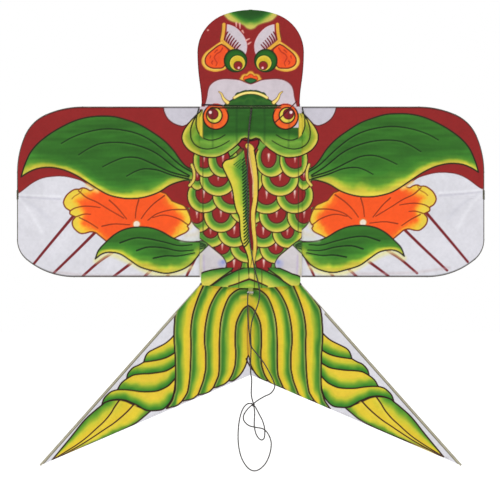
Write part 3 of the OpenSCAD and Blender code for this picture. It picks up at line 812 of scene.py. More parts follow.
def paint_waist(silk):
    paint_body(silk)
    silk.across = np.abs(silk.x)

    def under(line, seed):
        return lambda d, x, z: ramp(line(x, z) + 1.5 * noise(x * 0.5, z, 6, seed), *WAIST_SHADE)

    # The right flank hangs a little lower
    drop = 5 * rise(silk.x, 44, 62)
    silk.z = silk.z + drop
    top = to_line([(80, -248), (69, -245), (56.6, -242.5), (42.8, -240.6), (34, -239.6), (24, -239)])
    side = shape([(80, -253), (72, -247.6), (64, -245), (56.6, -243.2), (42.8, -241), (34, -239.4),
        (26, -239)], [(28, -243.7), (45, -255.7), (56.6, -264.5), (66, -271)], [(80, -272), (80, -262)])
    silk.fill(side, under(top, 21), (40, 28, 18), 1.5)
    silk.z = silk.z - drop
    crown = to_line([(62, -268.5), (50, -261), (39.4, -254), (30, -249.3), (22, -245.6), (14, -242),
        (8.4, -240.4), (0, -239.8), (-6, -239.8)])
    leaf = shape([(62, -269), (50, -261), (39.4, -253.6), (30, -249), (22, -245), (14, -241.8),
        (8.4, -240), (0, -239.2), (-6, -239.2)], [(-6, -275), (62, -275)])
    silk.fill(leaf, under(crown, 22), (40, 28, 18), 1.5)
    silk.across = silk.x
    left, right = [(-33, -268), (-22, -264.6), (-11, -260.4), (-2, -257.2)], [(-2, -257.2), (7, -260.4),
        (15, -263.6), (25, -268)]
    chevron = shape(left, right, [(25, -268), (25, -276), (-33, -276)])
    silk.fill(chevron, [(0, (84, 138, 48)), (4, (104, 160, 50)), (9, (176, 190, 62)),
        (14, (214, 200, 80))], None)
    for slope in (left, right[::-1]):
        silk.stroke(slope, (1.2, 2.4), (58, 22, 18))
    silk.stroke([(-3, -238), (-2.8, -248), (-2.2, -257)], 1.1, (38, 36, 18), 1, 0.8)
    silk.spot(0.5, -252.5, 4, (220, 200, 96), soft=3, strength=0.8)
    for x in (-18, 5.4, 16.3):
        silk.stroke([(x, -238), (x + 0.5, -255), (x, -271)], 0.9, (60, 60, 20), 1, 0.6)


# Wing ------------------------------------------------------------------------------------------

LEAF_SHADE = ((0, (216, 196, 76)), (3.5, (206, 194, 62)), (6, (160, 182, 52)), (9, (88, 144, 44)),
    (15, (58, 122, 38)), (26, (48, 104, 33)))


def painted_leaf(silk, lower, upper, veins, narrow, seed):
    """A leaf with a pale band along its lower side that turns to deep green.

    narrow holds places along x and how narrow the band is at each of them.
    """
    band, back = to_line(lower), to_line(upper)

    def rule(d, x, z):
        streak = (noise(0.12 * x + 0.5 * z, z, 4, seed + 2) + noise(0.3 * x, z, 9, seed + 3))[:, None]
        bright = (rise(back(x, z), 14, 0) * 0.4 + rise(x, 128, 94) * 0.5)[:, None]
        depth = (band(x, z) * np.interp(x, *narrow) + 1.6 * noise(x, z, 17, seed)
                 + 0.8 * noise(x, z, 6, seed + 1))
        green = ramp(depth, *LEAF_SHADE) * (1 - bright * 0.6 + 0.07 * streak)
        return green + np.array([76, 140, 54]) * bright * 0.6

    silk.fill(shape(lower, upper), rule, (38, 34, 20), 1.5)
    for vein in veins:
        silk.stroke([(x, z - 1.6) for x, z in vein], (2.6, 1.2), (74, 134, 50), 2.4, 0.45)
        silk.stroke(vein, (1.7, 0.9), (20, 36, 16))


def paint_wing(silk):
    # The right wing is painted a little higher and further in than the left one
    out = np.clip(silk.x - 76, 0, None)
    silk.z = silk.z - 0.026 * out
    silk.across = np.abs(silk.x) + 2.5 * rise(out, 0, 40)
    # Dark stripes on the bare silk
    stripes = [
        [(262, -158), (299.5, -203), (328, -238)], [(232, -186), (261, -215), (297, -250)],
        [(208, -218), (227, -231), (252, -253)], [(176, -231), (190.5, -242), (209, -256)],
        [(150, -245), (163, -257)], [(121, -248), (129, -257)], [(83, -226), (91, -242), (98, -257)]]
    for stripe in stripes:
        silk.stroke(stripe, (3.8, 3), (118, 32, 38))
    red = shape([(352, -130), (344.5, -126), (328, -113.4), (313, -106), (296, -103), (280, -103),
        (265, -106), (252, -110.5), (238, -120), (220, -130)], [(200, -140), (150, -140), (127, -130)],
        [(127, -130), (120, -137), (112, -143.6), (102, -148.6), (93, -151.7), (89.6, -160), (87, -167),
        (76, -172), (60, -176)], [(60, 10), (360, 10)])
    silk.fill(red, [(0, (148, 34, 34)), (8, RED)], (110, 36, 36), 0.8)
    # Pale lobe beside the head
    silk.fill(shape([(131, 6), (130.4, -3), (128.4, -9.5), (124, -17), (117, -23), (109, -26.6),
        (102, -28), (96, -26)], [(96, -26), (88, -18.4), (78.5, -9.4), (70, -1)], [(70, 10), (131, 10)]),
        [(0, (214, 204, 208)), (2, (197, 193, 203))], (84, 30, 30), 1)
    # Scales that run on from the body
    for place in ((80.5, -162, 25, 25), (68, -132, 26.5, 25.5), (80, -101, 12.5, 22, 5),
            (65.5, -78.5, 20.2, 26)):
        scale(silk, *place)
    silk.fill(shape([(96, -149), (92, -156), (92, -163), (88.6, -171), (81, -180), (70, -187)],
        [(70, -200), (120, -200), (120, -149)]), WHITE, (70, 40, 36), 0.9)
    silk.spot(96, -176, 9, (226, 210, 140), soft=6, strength=0.6)
    # Flower
    flower = shape([(232, -121), (240, -124.6), (246, -121.8), (252, -120.6), (257, -122.6),
        (263, -122.8), (269, -125.6), (276.5, -132.4), (280.6, -142), (277.6, -150), (271, -154.6)],
        [(271, -154.6), (270.6, -160), (262.6, -164)], [(262.6, -164), (267.4, -171), (265.6, -180),
        (257, -188), (249, -188.6), (240, -186.4), (232.6, -187.6), (227, -192), (217, -200)],
        [(200, -212), (150, -212), (118, -198)], [(118, -198), (108, -192.6), (96.7, -187), (93, -182),
        (95, -178)], [(95, -178), (90.6, -173), (89.8, -167), (92.4, -159), (95.6, -152.6)],
        [(95.6, -152.6), (100.5, -147), (109, -143.6), (118, -140)],
        [(118, -140), (121.6, -135.4), (127, -129)], [(160, -118), (225, -116)])

    def petal_shade(d, x, z):
        depth = d + 2.4 * noise(x, z, 12, 41) + 1.6 * noise(x, z, 3, 42)
        depth += 12 * rise(x, 106, 136) * rise(x, 256, 222) - np.clip((x - 242) / 2.6, 0, 12)
        return ramp(depth, (0, (230, 202, 68)), (6, (240, 190, 54)), (11, (246, 146, 40)),
            (16, (246, 104, 32)), (23, (244, 86, 30)))

    silk.fill(flower, petal_shade, (120, 46, 22), 1.4)
    petals = [[(190, -166), (211.5, -153.6), (230.6, -142), (246, -135), (258, -125)],
        [(226, -150), (238, -148.4), (250, -148), (263, -150.7), (270.6, -155)],
        [(181, -176), (204, -174.6), (223, -178)], [(229, -181), (242, -172.6), (257, -165)],
        [(173, -166), (171.4, -152), (167.6, -138)], [(164, -166.6), (156, -155.5), (145, -144),
        (129, -132)], [(154, -169), (141, -159.6), (120, -153.6), (96, -153)],
        [(147, -165), (129, -161.4), (108, -167), (94, -176)], [(186, -167), (200, -150), (212, -139)],
        [(240, -160), (250, -160), (261, -163.6)]]
    for petal in petals:
        silk.stroke(petal, (0.8, 1.3), (122, 44, 20), strength=0.85)
    silk.stroke([(252, -121), (256, -128), (264, -133), (268, -137)], 1, (150, 80, 26), strength=0.6)
    silk.spot(171, -175, 5.4, (236, 222, 204), (220, 130, 60), 1)
    # The two leaves, over dye that has run below them
    silk.stroke([(230, -125), (244, -116)], 6, (244, 212, 120), 5, 0.7)
    silk.stroke([(90, -239), (108, -248), (146, -249), (181, -232), (211, -220), (232, -230)], 7,
        (226, 220, 156), 5, 0.7)
    if silk.x.mean() > 0:
        band = ((100, 130, 152, 212, 232, 252, 300), (0.9, 0.6, 0.42, 0.5, 0.78, 0.88, 1.2))
    else:
        band = ((130, 150, 175, 209, 228, 300, 320, 331), (0.9, 0.75, 0.74, 0.95, 1.3, 1.3, 1, 0.8))
    painted_leaf(silk, [(86, -108.6), (100, -109.6), (120, -116), (139, -127.6), (162, -135),
        (185, -136.6), (208, -132.6), (223, -126), (242, -114), (261, -102), (280, -93.6), (300, -89.8),
        (319, -91.4), (333, -97), (344, -104)], [(344, -104), (341.6, -95), (338.6, -86), (331, -69),
        (319, -54), (300, -39), (280, -27.4), (261, -19), (242, -14.4), (223, -13), (204, -14),
        (185, -19), (166, -26), (146, -38), (130, -49.6), (116, -64), (106, -78), (97, -88), (84, -95)],
        [[(88, -96.6), (100, -90), (112, -81), (133, -62), (156, -45.5), (181, -36), (213, -32),
        (242, -36), (267, -44.5), (284, -54)], [(92, -102), (105, -95), (118, -86.6), (141, -69),
        (166, -58), (194, -52.6), (223, -53.7), (242, -61), (258, -71)],
        [(93, -104), (122, -96), (150, -83), (169, -75.5), (188.5, -75), (206, -81), (222, -89)],
        [(93, -107.4), (118, -101.4), (139, -94), (158, -92), (171, -95), (186, -103)]], band, 51)
    collar = [(88.4, -86), (85.4, -94), (84.6, -102), (86.2, -110), (91.6, -117)]
    silk.stroke(collar, (4.6, 5), (52, 38, 20))
    silk.stroke(collar, (2.8, 3.2), (220, 198, 88))
    painted_leaf(silk, [(76, -219), (83, -227.6), (93, -237.6), (108, -245), (127, -248.6), (146, -245),
        (166, -239), (181, -229), (196, -219.6), (211.5, -217), (223, -219.6), (233, -227)],
        [(233, -227), (228, -214), (217, -202), (204, -190.6), (188.5, -182.6), (169, -179.2),
        (150, -180.4), (133, -186.4), (116, -196), (98.6, -201), (74, -201.6)],
        [[(196, -203), (175, -196), (156, -196.4), (131, -201.4), (108, -207), (88, -206)],
        [(171, -214.6), (154, -209.4), (131, -210.4), (108, -215), (86, -214)],
        [(146, -226), (127, -222.5), (108, -222.6), (84, -218)]], ((150, 190, 206), (0.72, 1.15, 1.5)),
        61)
    silk.stroke([(60, -192), (76, -196), (90, -199), (104, -200)], 5, (206, 214, 196), 4, 0.4)
    # The cheek that runs on from the body
    fish_face(silk)
    silk.fill(shape([(73, 0), (76.4, -9), (79.8, -18), (80.8, -28), (78, -38.6), (72, -45)],
        [(70, -44), (68, -40), (68, 0)]), [(0, (190, 180, 62)), (2, (214, 194, 64))], None)
    cheek_lines(silk)
    # Bare silk: a warm stain by the body, a crease in painted light and shade, and a grey edge
    silk.stroke([(76, -184), (82, -190), (96, -192)], 6, (214, 202, 158), 6, 0.4)
    # Painted highlight above the crease at the tip, and painted shade below it
    silk.stroke([(350, -130.6), (320, -132), (286, -133.4)], (1, 3), (232, 232, 238), 3, 0.6)
    silk.stroke([(350, -133.4), (320, -135.8), (286, -137.4)], (1, 2.4), (182, 180, 194), 2.5, 0.5)
    # Painted shade and painted highlight along the pulls that spread from the tip
    silk.stroke([(349, -134), (322, -150), (300, -170)], (1, 6), (196, 196, 206), 6, 0.4)
    silk.stroke([(349, -134), (330, -158), (314, -186)], (1, 6), (234, 234, 240), 6, 0.5)
    silk.stroke([(150, -251.6), (240, -252), (300, -246)], 3, (196, 182, 184), 4, 0.5)


# Tail ------------------------------------------------------------------------------------------

TAIL_LINES = [[(66, -250), (84, -269), (98, -287), (107, -300), (109.6, -310), (110.8, -322),
    (111.6, -345), (109.5, -379), (109.5, -419.5), (112, -431), (114.5, -439.6), (122.6, -451.6)],
    [(63, -258), (68.4, -269), (76.4, -288), (83.4, -311), (86.5, -335), (86, -359), (87.5, -399),
    (90.5, -423.5), (94, -432), (99.5, -440.6)], [(32, -260), (40, -269), (49.7, -282), (59, -302),
    (64.5, -328), (65.7, -351), (64, -369), (64, -391), (66, -402), (68, -411), (75.5, -431)],
    [(-4, -272), (8, -271.8), (16.4, -273.4), (28, -283), (36, -300), (41.5, -322), (43.4, -351),
    (43.4, -379), (44.5, -400), (48, -410), (52.3, -420)],
    [(0, -297), (5, -300), (9.5, -305), (15.2, -316), (18.7, -328), (19.8, -351), (18.9, -368),
    (19.8, -385), (22, -394), (25, -402), (29.4, -409.4)]]
FEATHER = ((0, (120, 160, 70)), (0.06, (84, 138, 50)), (0.2, (54, 116, 38)), (0.32, (76, 138, 42)),
    (0.46, (146, 172, 48)), (0.66, (216, 196, 46)), (0.88, (224, 190, 50)), (1, (222, 180, 70)))


def between(a, b):
    """How far from the first line to the second, from 0 to 1, at distances a and b from them."""
    return a / np.maximum(a + b, 0.1)


def feather(silk, outer, inner, close, seed):
    """A long feather between two lines, green along the outer one and gold along the inner one."""
    one, other = to_line(outer), to_line(inner)

    def rule(d, x, z):
        streak = 0.07 * noise(x, z * 0.25, 5, seed) + 0.05 * noise(x, z * 0.5, 13, seed + 1)
        return ramp(between(one(x, z), other(x, z)) + streak, *FEATHER)

    silk.fill(shape(outer, *close, inner[::-1]), rule, None)


def paint_tail(silk):
    silk.across = np.abs(silk.x)
    silk.fill(shape([(-9, -255), (60, -255)], [(60, -285), (-9, -285)]), (186, 184, 56))
    dark = (40, 16, 12)
    # The feathers that lean outwards, a little higher and further in on the right
    right = silk.x > 0
    silk.across, silk.z = np.abs(silk.x) + 8.5 * right, silk.z - 5.0 * right
    fan(silk, dark)
    silk.across, silk.z = np.abs(silk.x + 3.5), silk.z + 5.0 * right
    scallops = [[(122.6, -451.6), (116, -449.6), (110.5, -448.4), (105, -445.6), (99.5, -440.6)],
        [(99.5, -440.6), (94, -439.4), (88.5, -438.4), (82, -436), (75.5, -430.8)],
        [(75.5, -430.8), (71, -430.6), (66.5, -429.6), (59, -426.6), (52.3, -420.2)],
        [(52.3, -420.2), (47, -419.6), (42.2, -417.6), (36, -415), (29.6, -409.8)],
        [(29.4, -409.4), (26, -410.4), (22, -409.4), (17, -405.6), (12, -400.6), (7, -393), (3, -384),
        (1.6, -376), (0, -372)]]
    for k in range(4):
        feather(silk, TAIL_LINES[k], TAIL_LINES[k + 1], [scallops[k]], 70 + 3 * k)
    tear = shape(TAIL_LINES[4], scallops[4], [(-6, -372), (-6, -297)])
    hem = to_line(TAIL_LINES[4])

    def hem_shade(d, x, z):
        return ramp(hem(x, z) + 1.5 * noise(x, z * 0.3, 5, 88), (0, (76, 126, 48)), (3.5, (52, 116, 38)),
            (8, (134, 166, 46)), (12, (210, 192, 46)), (19, (224, 186, 52)))

    silk.fill(tear, hem_shade, None)
    for line in TAIL_LINES:
        silk.stroke([(x - 1.6, z) for x, z in line], (2.6, 2.2), (226, 190, 110), 2, 0.35)
        silk.stroke(line, (1.8, 1.5), dark)
    for line in scallops:
        silk.stroke(line, 1.5, dark)
    silk.stroke([(1, -300), (0.8, -320), (1.5, -345), (0.6, -372)], (1, 0.6), (130, 70, 30), strength=0.6)
    silk.across = silk.x
    silk.stroke([(-13, -285), (-4, -284), (2, -288)], 7, (216, 190, 60), 4, 0.75)
    silk.stroke([(-6.7, -377), (-4.4, -382), (-1.5, -387.3), (3, -393.6)], 1.6, dark)
    # The margin that wraps the stick, as a beige band, with a painted shade line along its inner edge
    silk.across = np.abs(silk.x)
    silk.stroke([(113, -308.7), (316, -537)], 3.2, (176, 170, 148), 1)
    silk.stroke([(111.4, -310), (314.4, -538.4)], 0.7, (116, 110, 90), 0.8)


def fan_shade(under, seed):
    """Green along the lower line and gold above it."""
    return lambda d, x, z: ramp(under(x, z) + 1.6 * noise(x, z, 9, seed), (0, (44, 112, 32)),
        (3.5, (62, 132, 38)), (7.5, (118, 160, 44)), (11.5, (196, 192, 50)), (17, (226, 196, 56)))


def fan(silk, dark):
    """The short feathers that lean out from behind the long ones, and the pointed leaf below."""
    tops = [
        [(114.5, -341), (121, -348), (130, -355), (146, -363), (153, -367), (157.6, -373), (160.5, -382)],
        [(160.5, -382), (168, -386.4), (176, -390), (182, -396), (185, -401), (186, -407)],
        [(186, -407), (191, -410.6), (195.6, -415.4), (200, -423.5)],
        [(200, -423.5), (206, -425), (211.5, -427.8), (218.5, -434.5), (221.6, -440), (223.5, -446.6)],
    ]
    lows = [[(160.5, -382), (150, -380.6), (140, -379), (132, -377), (124, -374), (114, -368)],
        [(186, -407), (180, -403.4), (174, -401), (162, -399.6), (150, -399), (130, -396), (120, -391.6),
        (112, -386)], [(200, -423.5), (190, -423.4), (178, -424.5), (166, -426.2), (156, -426.5),
        (146, -426), (138, -424.5), (129, -420.6), (122, -416), (112, -405)],
        [(223.5, -446.6), (220.6, -443.6), (216.5, -441.6), (209, -439), (202, -438), (194, -438.2),
        (186, -439.6), (178, -443), (170, -446.6), (163, -451), (156, -454), (150, -455), (144, -454.8),
        (136, -454), (130, -451.6), (124, -446), (118, -437), (114.4, -423), (113, -408)]]
    leaf_top = [(150, -455), (158, -454), (164, -451), (176, -446), (190, -440), (204, -439),
        (217, -441.6), (223.5, -446.6), (234.6, -455.6), (250.7, -470.7), (270.7, -495.8), (298, -529)]
    leaf_low = [(298, -529), (284, -522.6), (270.7, -516.6), (240.6, -504.8), (200.5, -488),
        (174.3, -474.6), (160, -463.6), (150, -455)]
    upper, under_leaf = to_line(leaf_top[6:]), to_line(leaf_low)

    def blade(d, x, z):
        t = between(upper(x, z), under_leaf(x, z)) + 0.05 * noise(x, z, 11, 90)
        return ramp(t, (0, (56, 124, 36)), (0.14, (104, 156, 44)), (0.3, (196, 194, 52)),
            (0.45, (220, 196, 50)), (0.6, (224, 194, 50)), (0.8, (222, 200, 52)), (0.88, (186, 188, 50)),
            (0.94, (104, 148, 42)), (1, (62, 118, 36)))

    silk.fill(shape(leaf_top, leaf_low), blade, (50, 30, 22), 1.5)
    for middle in ([(197, -439), (204, -449), (210.5, -459.7), (220, -471), (230.6, -480.8),
            (254.7, -501.6), (296, -528)], [(174, -444), (184, -455), (194.4, -464.6), (206, -474),
            (218.5, -482.4), (250.7, -503.6), (293, -528)]):
        silk.stroke([(x - 1, z - 3) for x, z in middle], (4.4, 2), (222, 200, 66), 3, 0.6)
        silk.stroke(middle, (1.7, 1), (62, 34, 22))
    # From the lowest to the highest, each one over the next
    for k in (3, 2, 1, 0):
        top, low = tops[k], lows[k]
        under = to_line(low[:-2] if k == 3 else low)
        back = [lows[k - 1][::-1]] if k else [[(112, -368), (112, -343)]]
        body = shape(*back, top, low)
        silk.fill(body, fan_shade(under, 95 + k), None)
        silk.stroke(low, (1.3, 1.6), dark)
        silk.stroke(top, 1.4, dark)


# Silk panels -----------------------------------------------------------------------------------

# Painted shade on the silk along its sewn edges, where it turns round the frame
EDGE_PAINTED_SHADE = 0.42  # how dark the sewn edges are
FRONT_SILK = -4.1  # depth of the silk on the front of the frame
WING_ROOT, WING_TIP, LOW_SPAR = 76, 349, -253  # where a wing starts and ends, and its lower spar
CROSSPIECE = -262  # height of the stick that the tail hangs from
STICK_X = 71.5  # where a tail stick leaves it
STICK_RUN, STICK_FALL = 244.5, 275  # how far a tail stick goes outwards and down


def dye(piece, x, z, paint, base, seed, shade=1.0):
    """Paints silk through, at its points' places in the kite's plane."""
    silk = Silk(x, z, base)
    paint(silk)
    colours = np.ones((len(x), 4), np.float32)
    colours[:, :3] = silk.finish(seed) * np.broadcast_to(shade, len(x))[:, None]
    layer = piece.data.color_attributes.new("paint", "FLOAT_COLOR", "POINT")
    layer.data.foreach_set("color", colours.ravel())


def cloth(name, rail, other, columns, flip, body, paint, base, seed, depth, node, bow=None, shade_edges=False):
    """A sheet woven between two rails of (x, z) points, painted and set to its depth.

    flip turns its faces to the front, bow shifts its rows, and the last flag darkens its sewn edges with
    painted shade.
    """
    rail, other = np.array(rail, float), np.array(other, float)
    share = np.linspace(0, 1, columns)[None, :, None]
    grid = rail[:, None] * (1 - share) + other[:, None] * share
    x, z = grid[..., 0].ravel(), grid[..., 1].ravel()
    if bow:
        z = bow(x, z)
    y = depth(x, z)
    rows = len(rail)
    index = np.arange(rows * columns).reshape(rows, columns)
    faces = np.stack([index[:-1, :-1], index[:-1, 1:], index[1:, 1:], index[1:, :-1]], -1).reshape(-1, 4)
    if flip:
        faces = faces[:, ::-1]
    piece = add_mesh(name, np.stack([x, y, z], 1).tolist(), faces.tolist(), body, PAINTED)
    shade = np.ones((rows, columns))
    # Painted shade along the edges where the silk turns round the frame, and across a wing's tip
    if shade_edges:
        shade[:, :2] = shade[:, -2:] = EDGE_PAINTED_SHADE
    if node.endswith("wing_silk"):
        shade[-1] = EDGE_PAINTED_SHADE
    dye(piece, x, z, paint, base, seed, shade.ravel())
    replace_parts(piece, node)
    return piece


def arc_line(start, bends, step=1.5):
    """Points of a run of arcs in the kite's plane: [radius, turn in degrees], clockwise negative."""
    x, z, heading = start[0], start[1], 0.0
    points = [(x, z)]
    for radius, turn in bends:
        count = max(int(abs(math.radians(turn)) * radius / step), 4)
        sign = 1 if turn > 0 else -1
        cx, cz = x - sign * radius * math.sin(heading), z + sign * radius * math.cos(heading)
        for k in range(1, count + 1):
            angle = heading + math.radians(turn) * k / count
            points.append((cx + sign * radius * math.sin(angle), cz - sign * radius * math.cos(angle)))
        x, z = points[-1]
        heading += math.radians(turn)
    return np.array(points)


def hoop_outline():
    """The outer edge of the head, from the crown down the kite's right side."""
    line = arc_line((0, 144.5), [(115, -20), (59, -70), (300, -8)])
    heading = math.radians(-98)
    x, z = line[-1]
    line = np.vstack([line, (x + 10 * math.cos(heading), z + 10 * math.sin(heading))])
    tail = arc_line((0, 0), [(200, 8)])
    turn = np.array([[math.cos(heading), math.sin(heading)], [-math.sin(heading), math.cos(heading)]])
    line = np.vstack([line, tail[1:] @ turn + line[-1]])
    along = np.gradient(line, axis=0)
    along /= np.linalg.norm(along, axis=1)[:, None]
    out = np.stack([-along[:, 1], along[:, 0]], 1)
    edge = line + 1.5 * out
    edge = edge[edge[:, 1] > 1.2]
    return np.vstack([edge, (edge[-1][0], 1.2)])


def even(line, step):
    """The same line with points step apart."""
    reach = np.concatenate([[0], np.cumsum(np.linalg.norm(np.diff(line, axis=0), axis=1))])
    marks = np.linspace(0, reach[-1], int(reach[-1] / step) + 1)
    return np.stack([np.interp(marks, reach, line[:, 0]), np.interp(marks, reach, line[:, 1])], 1)


def mirror(points):
    return np.array(points) * (-1, 1)


def head_depth(x, z):
    u = np.abs(x)
    sag = rise(u, 70, 0) * rise(z, 0, 30) * rise(z, 142, 122)
    slack = rise(u, 0, 6) * sag
    return FRONT_SILK + slack * (0.35 * noise(x, z, 26, 301) + 0.12 * noise(x + z, z, 7, 302))


def body_depth(x, z):
    u = np.abs(x)
    free = rise(u, 3.5, 15.5) * rise(u, 72, 58) * rise(z, 0, -10) * rise(z, -244, -230)
    slack = 0.5 * noise(x, z, 34, 311) + 0.14 * noise(x, z, 8, 312)
    folds = sum(0.32 * np.exp(-((u - f) / 1.3) ** 2) for f in (20.5, 57))
    return FRONT_SILK - 0.5 * folds * rise(z, 0, -10) + free * slack


def waist_depth(x, z):
    """Gathers that open towards the free lower edge."""
    drop = rise(z, -240, -269)
    pleat = 0.5 + 0.5 * np.sin(x * 0.62 + 1.3 * noise(x, z, 14, 321))
    return -4.5 - drop * (0.25 + 0.75 * pleat) + 0.12 * np.sin(x * 2.1) * (1 - drop)


def wing_depth(x, z):
    """Slack silk between the spars, with the creases that the folded kite leaves."""
    u = np.abs(x)
    across = rise(u, WING_ROOT, 136) * rise(u, WING_TIP, 299)
    down = rise(z, 0, -45) * rise(z, LOW_SPAR, -208)
    slack = across * down
    crease = 0.45 * np.exp(-((z + 134 + 0.02 * (u - 300)) / 1.2) ** 2)
    crease *= rise(u, 255, 295) * rise(u, WING_TIP, 334)
    pull = 0.22 * np.sin((u + z) / 7.0) * rise(z, LOW_SPAR, -223) * rise(z, -190, -220)
    pull += 0.2 * np.sin((u - 0.8 * z) / 8.0) * rise(z, 0, -20) * rise(z, -70, -30)
    waves = 1.1 * noise(u, z, 62, 331) + 0.35 * noise(u, z, 19, 332) + 0.1 * noise(u + 0.6 * z, z, 6, 333)
    return -1.9 - crease + slack * waves + pull * across * 0.8 + 0.9 * slack


def tail_depth(x, z):
    """Silk that hangs slack between the two sticks."""
    u = np.abs(x)
    stick = STICK_X + (CROSSPIECE - z) * STICK_RUN / STICK_FALL
    inside = np.clip((stick - u) / 30, 0, 1) * rise(z, -265, -305)
    ribs = 0.5 * np.sin(x / 7.5) * rise(z, -280, -340) * rise(u, 130, 100)
    return 1.9 + inside * (0.5 * noise(x, z, 40, 341) + 0.25 * noise(x, z, 13, 342) + 0.35 * ribs - 0.4)


edge = even(hoop_outline()[::-1], 0.85)
cloth("head_panel", edge, mirror(edge), 190, True, "centre_frame", paint_head, RED, 10, head_depth,
    "head_silk", shade_edges=True)
down = np.linspace(1.0, -254.8, 300)
cloth("body_panel", [(-76.4, z) for z in down], [(76.4, z) for z in down], 182, True, "centre_frame",
      paint_body, RED, 20, body_depth, "body_silk")
drop = np.linspace(0, 1, 46)
band = [(73.2 + 2 * k - 3.4 * max(0, k - 0.72) ** 1.5 / 0.148, -240 - 26.4 * k) for k in drop]
cloth("waist_panel", mirror(band), band, 200, True, "centre_frame", paint_waist, RED, 25, waist_depth,
    "waist_band", lambda x, z: z + (z + 240) * 0.17 * np.cos(x / 75 * 1.4) ** 2)

top_arcs = [(135, -24), (60, -42), (135, -24)]
low_arcs = [(110, 40), (38, 50)]
top = arc_line((0, 0), top_arcs)
top = np.vstack([(WING_ROOT, 0), top + (WING_TIP - top[-1][0], 0)])
low = arc_line((0, 0), low_arcs)
low = np.vstack([(WING_ROOT, LOW_SPAR), low + (WING_TIP - low[-1][0], LOW_SPAR)])
wing_top_start, wing_low_start = top[1], low[1]
share = np.linspace(0, 1, 322)
wing_x = WING_ROOT + (WING_TIP - WING_ROOT) * (1 - (1 - share) ** 1.12)
wing_top = np.stack([wing_x, np.interp(wing_x, top[:, 0], top[:, 1])], 1)
wing_low = np.stack([wing_x, np.interp(wing_x, low[:, 0], low[:, 1])], 1)
tail_x = -0.02 + 315.64 * (1 - (1 - np.linspace(0, 1, 372)) ** 1.05)
tail_top = np.where(tail_x < 73.8, -265, CROSSPIECE - (tail_x - STICK_X) * STICK_FALL / STICK_RUN)
tail_top = np.stack([tail_x, tail_top], 1)
tail_low = np.stack([tail_x, -401 - tail_x * 136 / 316], 1)
for side, turn in (("left", mirror), ("right", np.array)):
    flip = side == "right"
    wing = cloth(side + "_wing_panel", turn(wing_top), turn(wing_low), 294, flip, side + "_wing",
                 paint_wing, WHITE, 30, wing_depth, side + "_wing_silk", shade_edges=True)
    tail = cloth(side + "_tail_panel", turn(tail_top), turn(tail_low), 188, flip, "tail",
                 paint_tail, WHITE, 40, tail_depth, side + "_tail_silk")


# Thread, tape and hems -------------------------------------------------------------------------

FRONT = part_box("spine")[0][1] / MM
STRIP_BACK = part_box("right_post")[1][1] / MM
SPINE_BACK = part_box("spine")[1][1] / MM
WRAP, PITCH = 0.3, 0.62  # radius of the waxed thread, and the step from turn to turn
POST = (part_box("right_post")[0][0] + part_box("right_post")[1][0]) / 2 / MM


def strap(width, back, hug, z, slant):
    """One turn of thread: from the front edge of a strip, round behind it and back."""
    half = [(width, FRONT + 0.4, -slant), (width, hug, -slant), (width * 0.8, back - 0.3, -slant * 0.8)]
    turn = [(-x, y, -drop) for x, y, drop in half] + [(0, back, 0)] + half[::-1]
    return [(x, y, z + drop) for x, y, drop in turn]


def lash(name, centre, strip_half, strip_back, spar, reach):
    """Thread wound round a flat strip, and crosswise over the round spar behind it."""
    width = strip_half + WRAP
    runs = []
    for k in range(4):
        for way in (1, -1):
            back = spar + WRAP + 0.15 * k * (way > 0)
            runs.append(strap(width, back, 0, PITCH * (k - 1.5), way * (spar + 0.5)))
    for z in np.arange(spar + 0.7, reach, PITCH):
        for way in (1, -1):
            runs.append(strap(width, strip_back + 0.35, strip_back - 0.4, way * z, 0.14))
    tubes = Tubes()
    for run in runs:
        tubes.add(curve_through(run, 0.55) + (centre[0], 0, centre[1]), WRAP)
    tubes.piece(name + "_wrap", "centre_frame", WAXED, "binding_thread", name + "_lashing")


def helix(radius_x, radius_y, start, end, pitch, samples=14):
    """A helix about the Z axis from start to end."""
    count = int(abs(end - start) / pitch * samples)
    t = np.arange(count + 1) / samples * 2 * math.pi
    return np.stack([radius_x * np.cos(t), radius_y * np.sin(t), np.linspace(start, end, count + 1)], 1)


def turned(points, angle, at):
    """Points turned about the Y axis by an angle and moved to a place."""
    c, s = math.cos(angle), math.sin(angle)
    x, y, z = np.array(points).T
    return np.stack([x * c + z * s + at[0], y + at[1], z * c - x * s + at[2]], 1)


lash("spine_top", (0, 0), 3.5, SPINE_BACK, 1.5, 4)
lash("spine_bottom", (0, LOW_SPAR), 3.5, SPINE_BACK, 1.5, 4)
for side, sign in (("left", -1), ("right", 1)):
    for place, z, reach in (("top", 0, 5.8), ("bottom", LOW_SPAR, 4)):
        lash(side + "_" + place, (sign * POST, z), 1.5, STRIP_BACK, 2.2, reach)

# Crown: turns round the top of the spine, and turns that go over the hoop
tubes = Tubes()
for k in range(5):
    turn = strap(3.8, SPINE_BACK + 0.35, SPINE_BACK - 0.4, 139.8 + PITCH * k, 0.12)
    tubes.add(curve_through(turn, 0.55), WRAP)
for x in np.arange(-2.7, 2.8, 0.6):
    over = [(x, FRONT + 0.4, 146.3), (x, FRONT + 1.2, 146.45), (x, -1.9, 146.1), (x + 0.2, -1.75, 144.4),
            (x + 0.3, -1.2, 142.2), (x + 0.3, -1.1, 139.4)]
    tubes.add(curve_through(over, 0.55), WRAP)
tubes.piece("crown_wrap", "centre_frame", WAXED, "binding_thread", "crown_lashing")


def stitches(tubes, start, end, depth, pitch=3.0, length=1.7, radius=0.22):
    """A running stitch from start to end, each stitch dipping into the cloth."""
    start, end = np.array(start, float), np.array(end, float)
    span = np.linalg.norm(end - start)
    way = (end - start) / span
    for reach in np.arange(pitch / 2, span - pitch / 2, pitch):
        stitch = []
        for share, deep in ((-0.5, 1), (-0.2, 0), (0, 0), (0.2, 0), (0.5, 1)):
            x, z = start + way * (reach + share * length)
            stitch.append((x, depth[deep], z))
        tubes.add(stitch, radius)


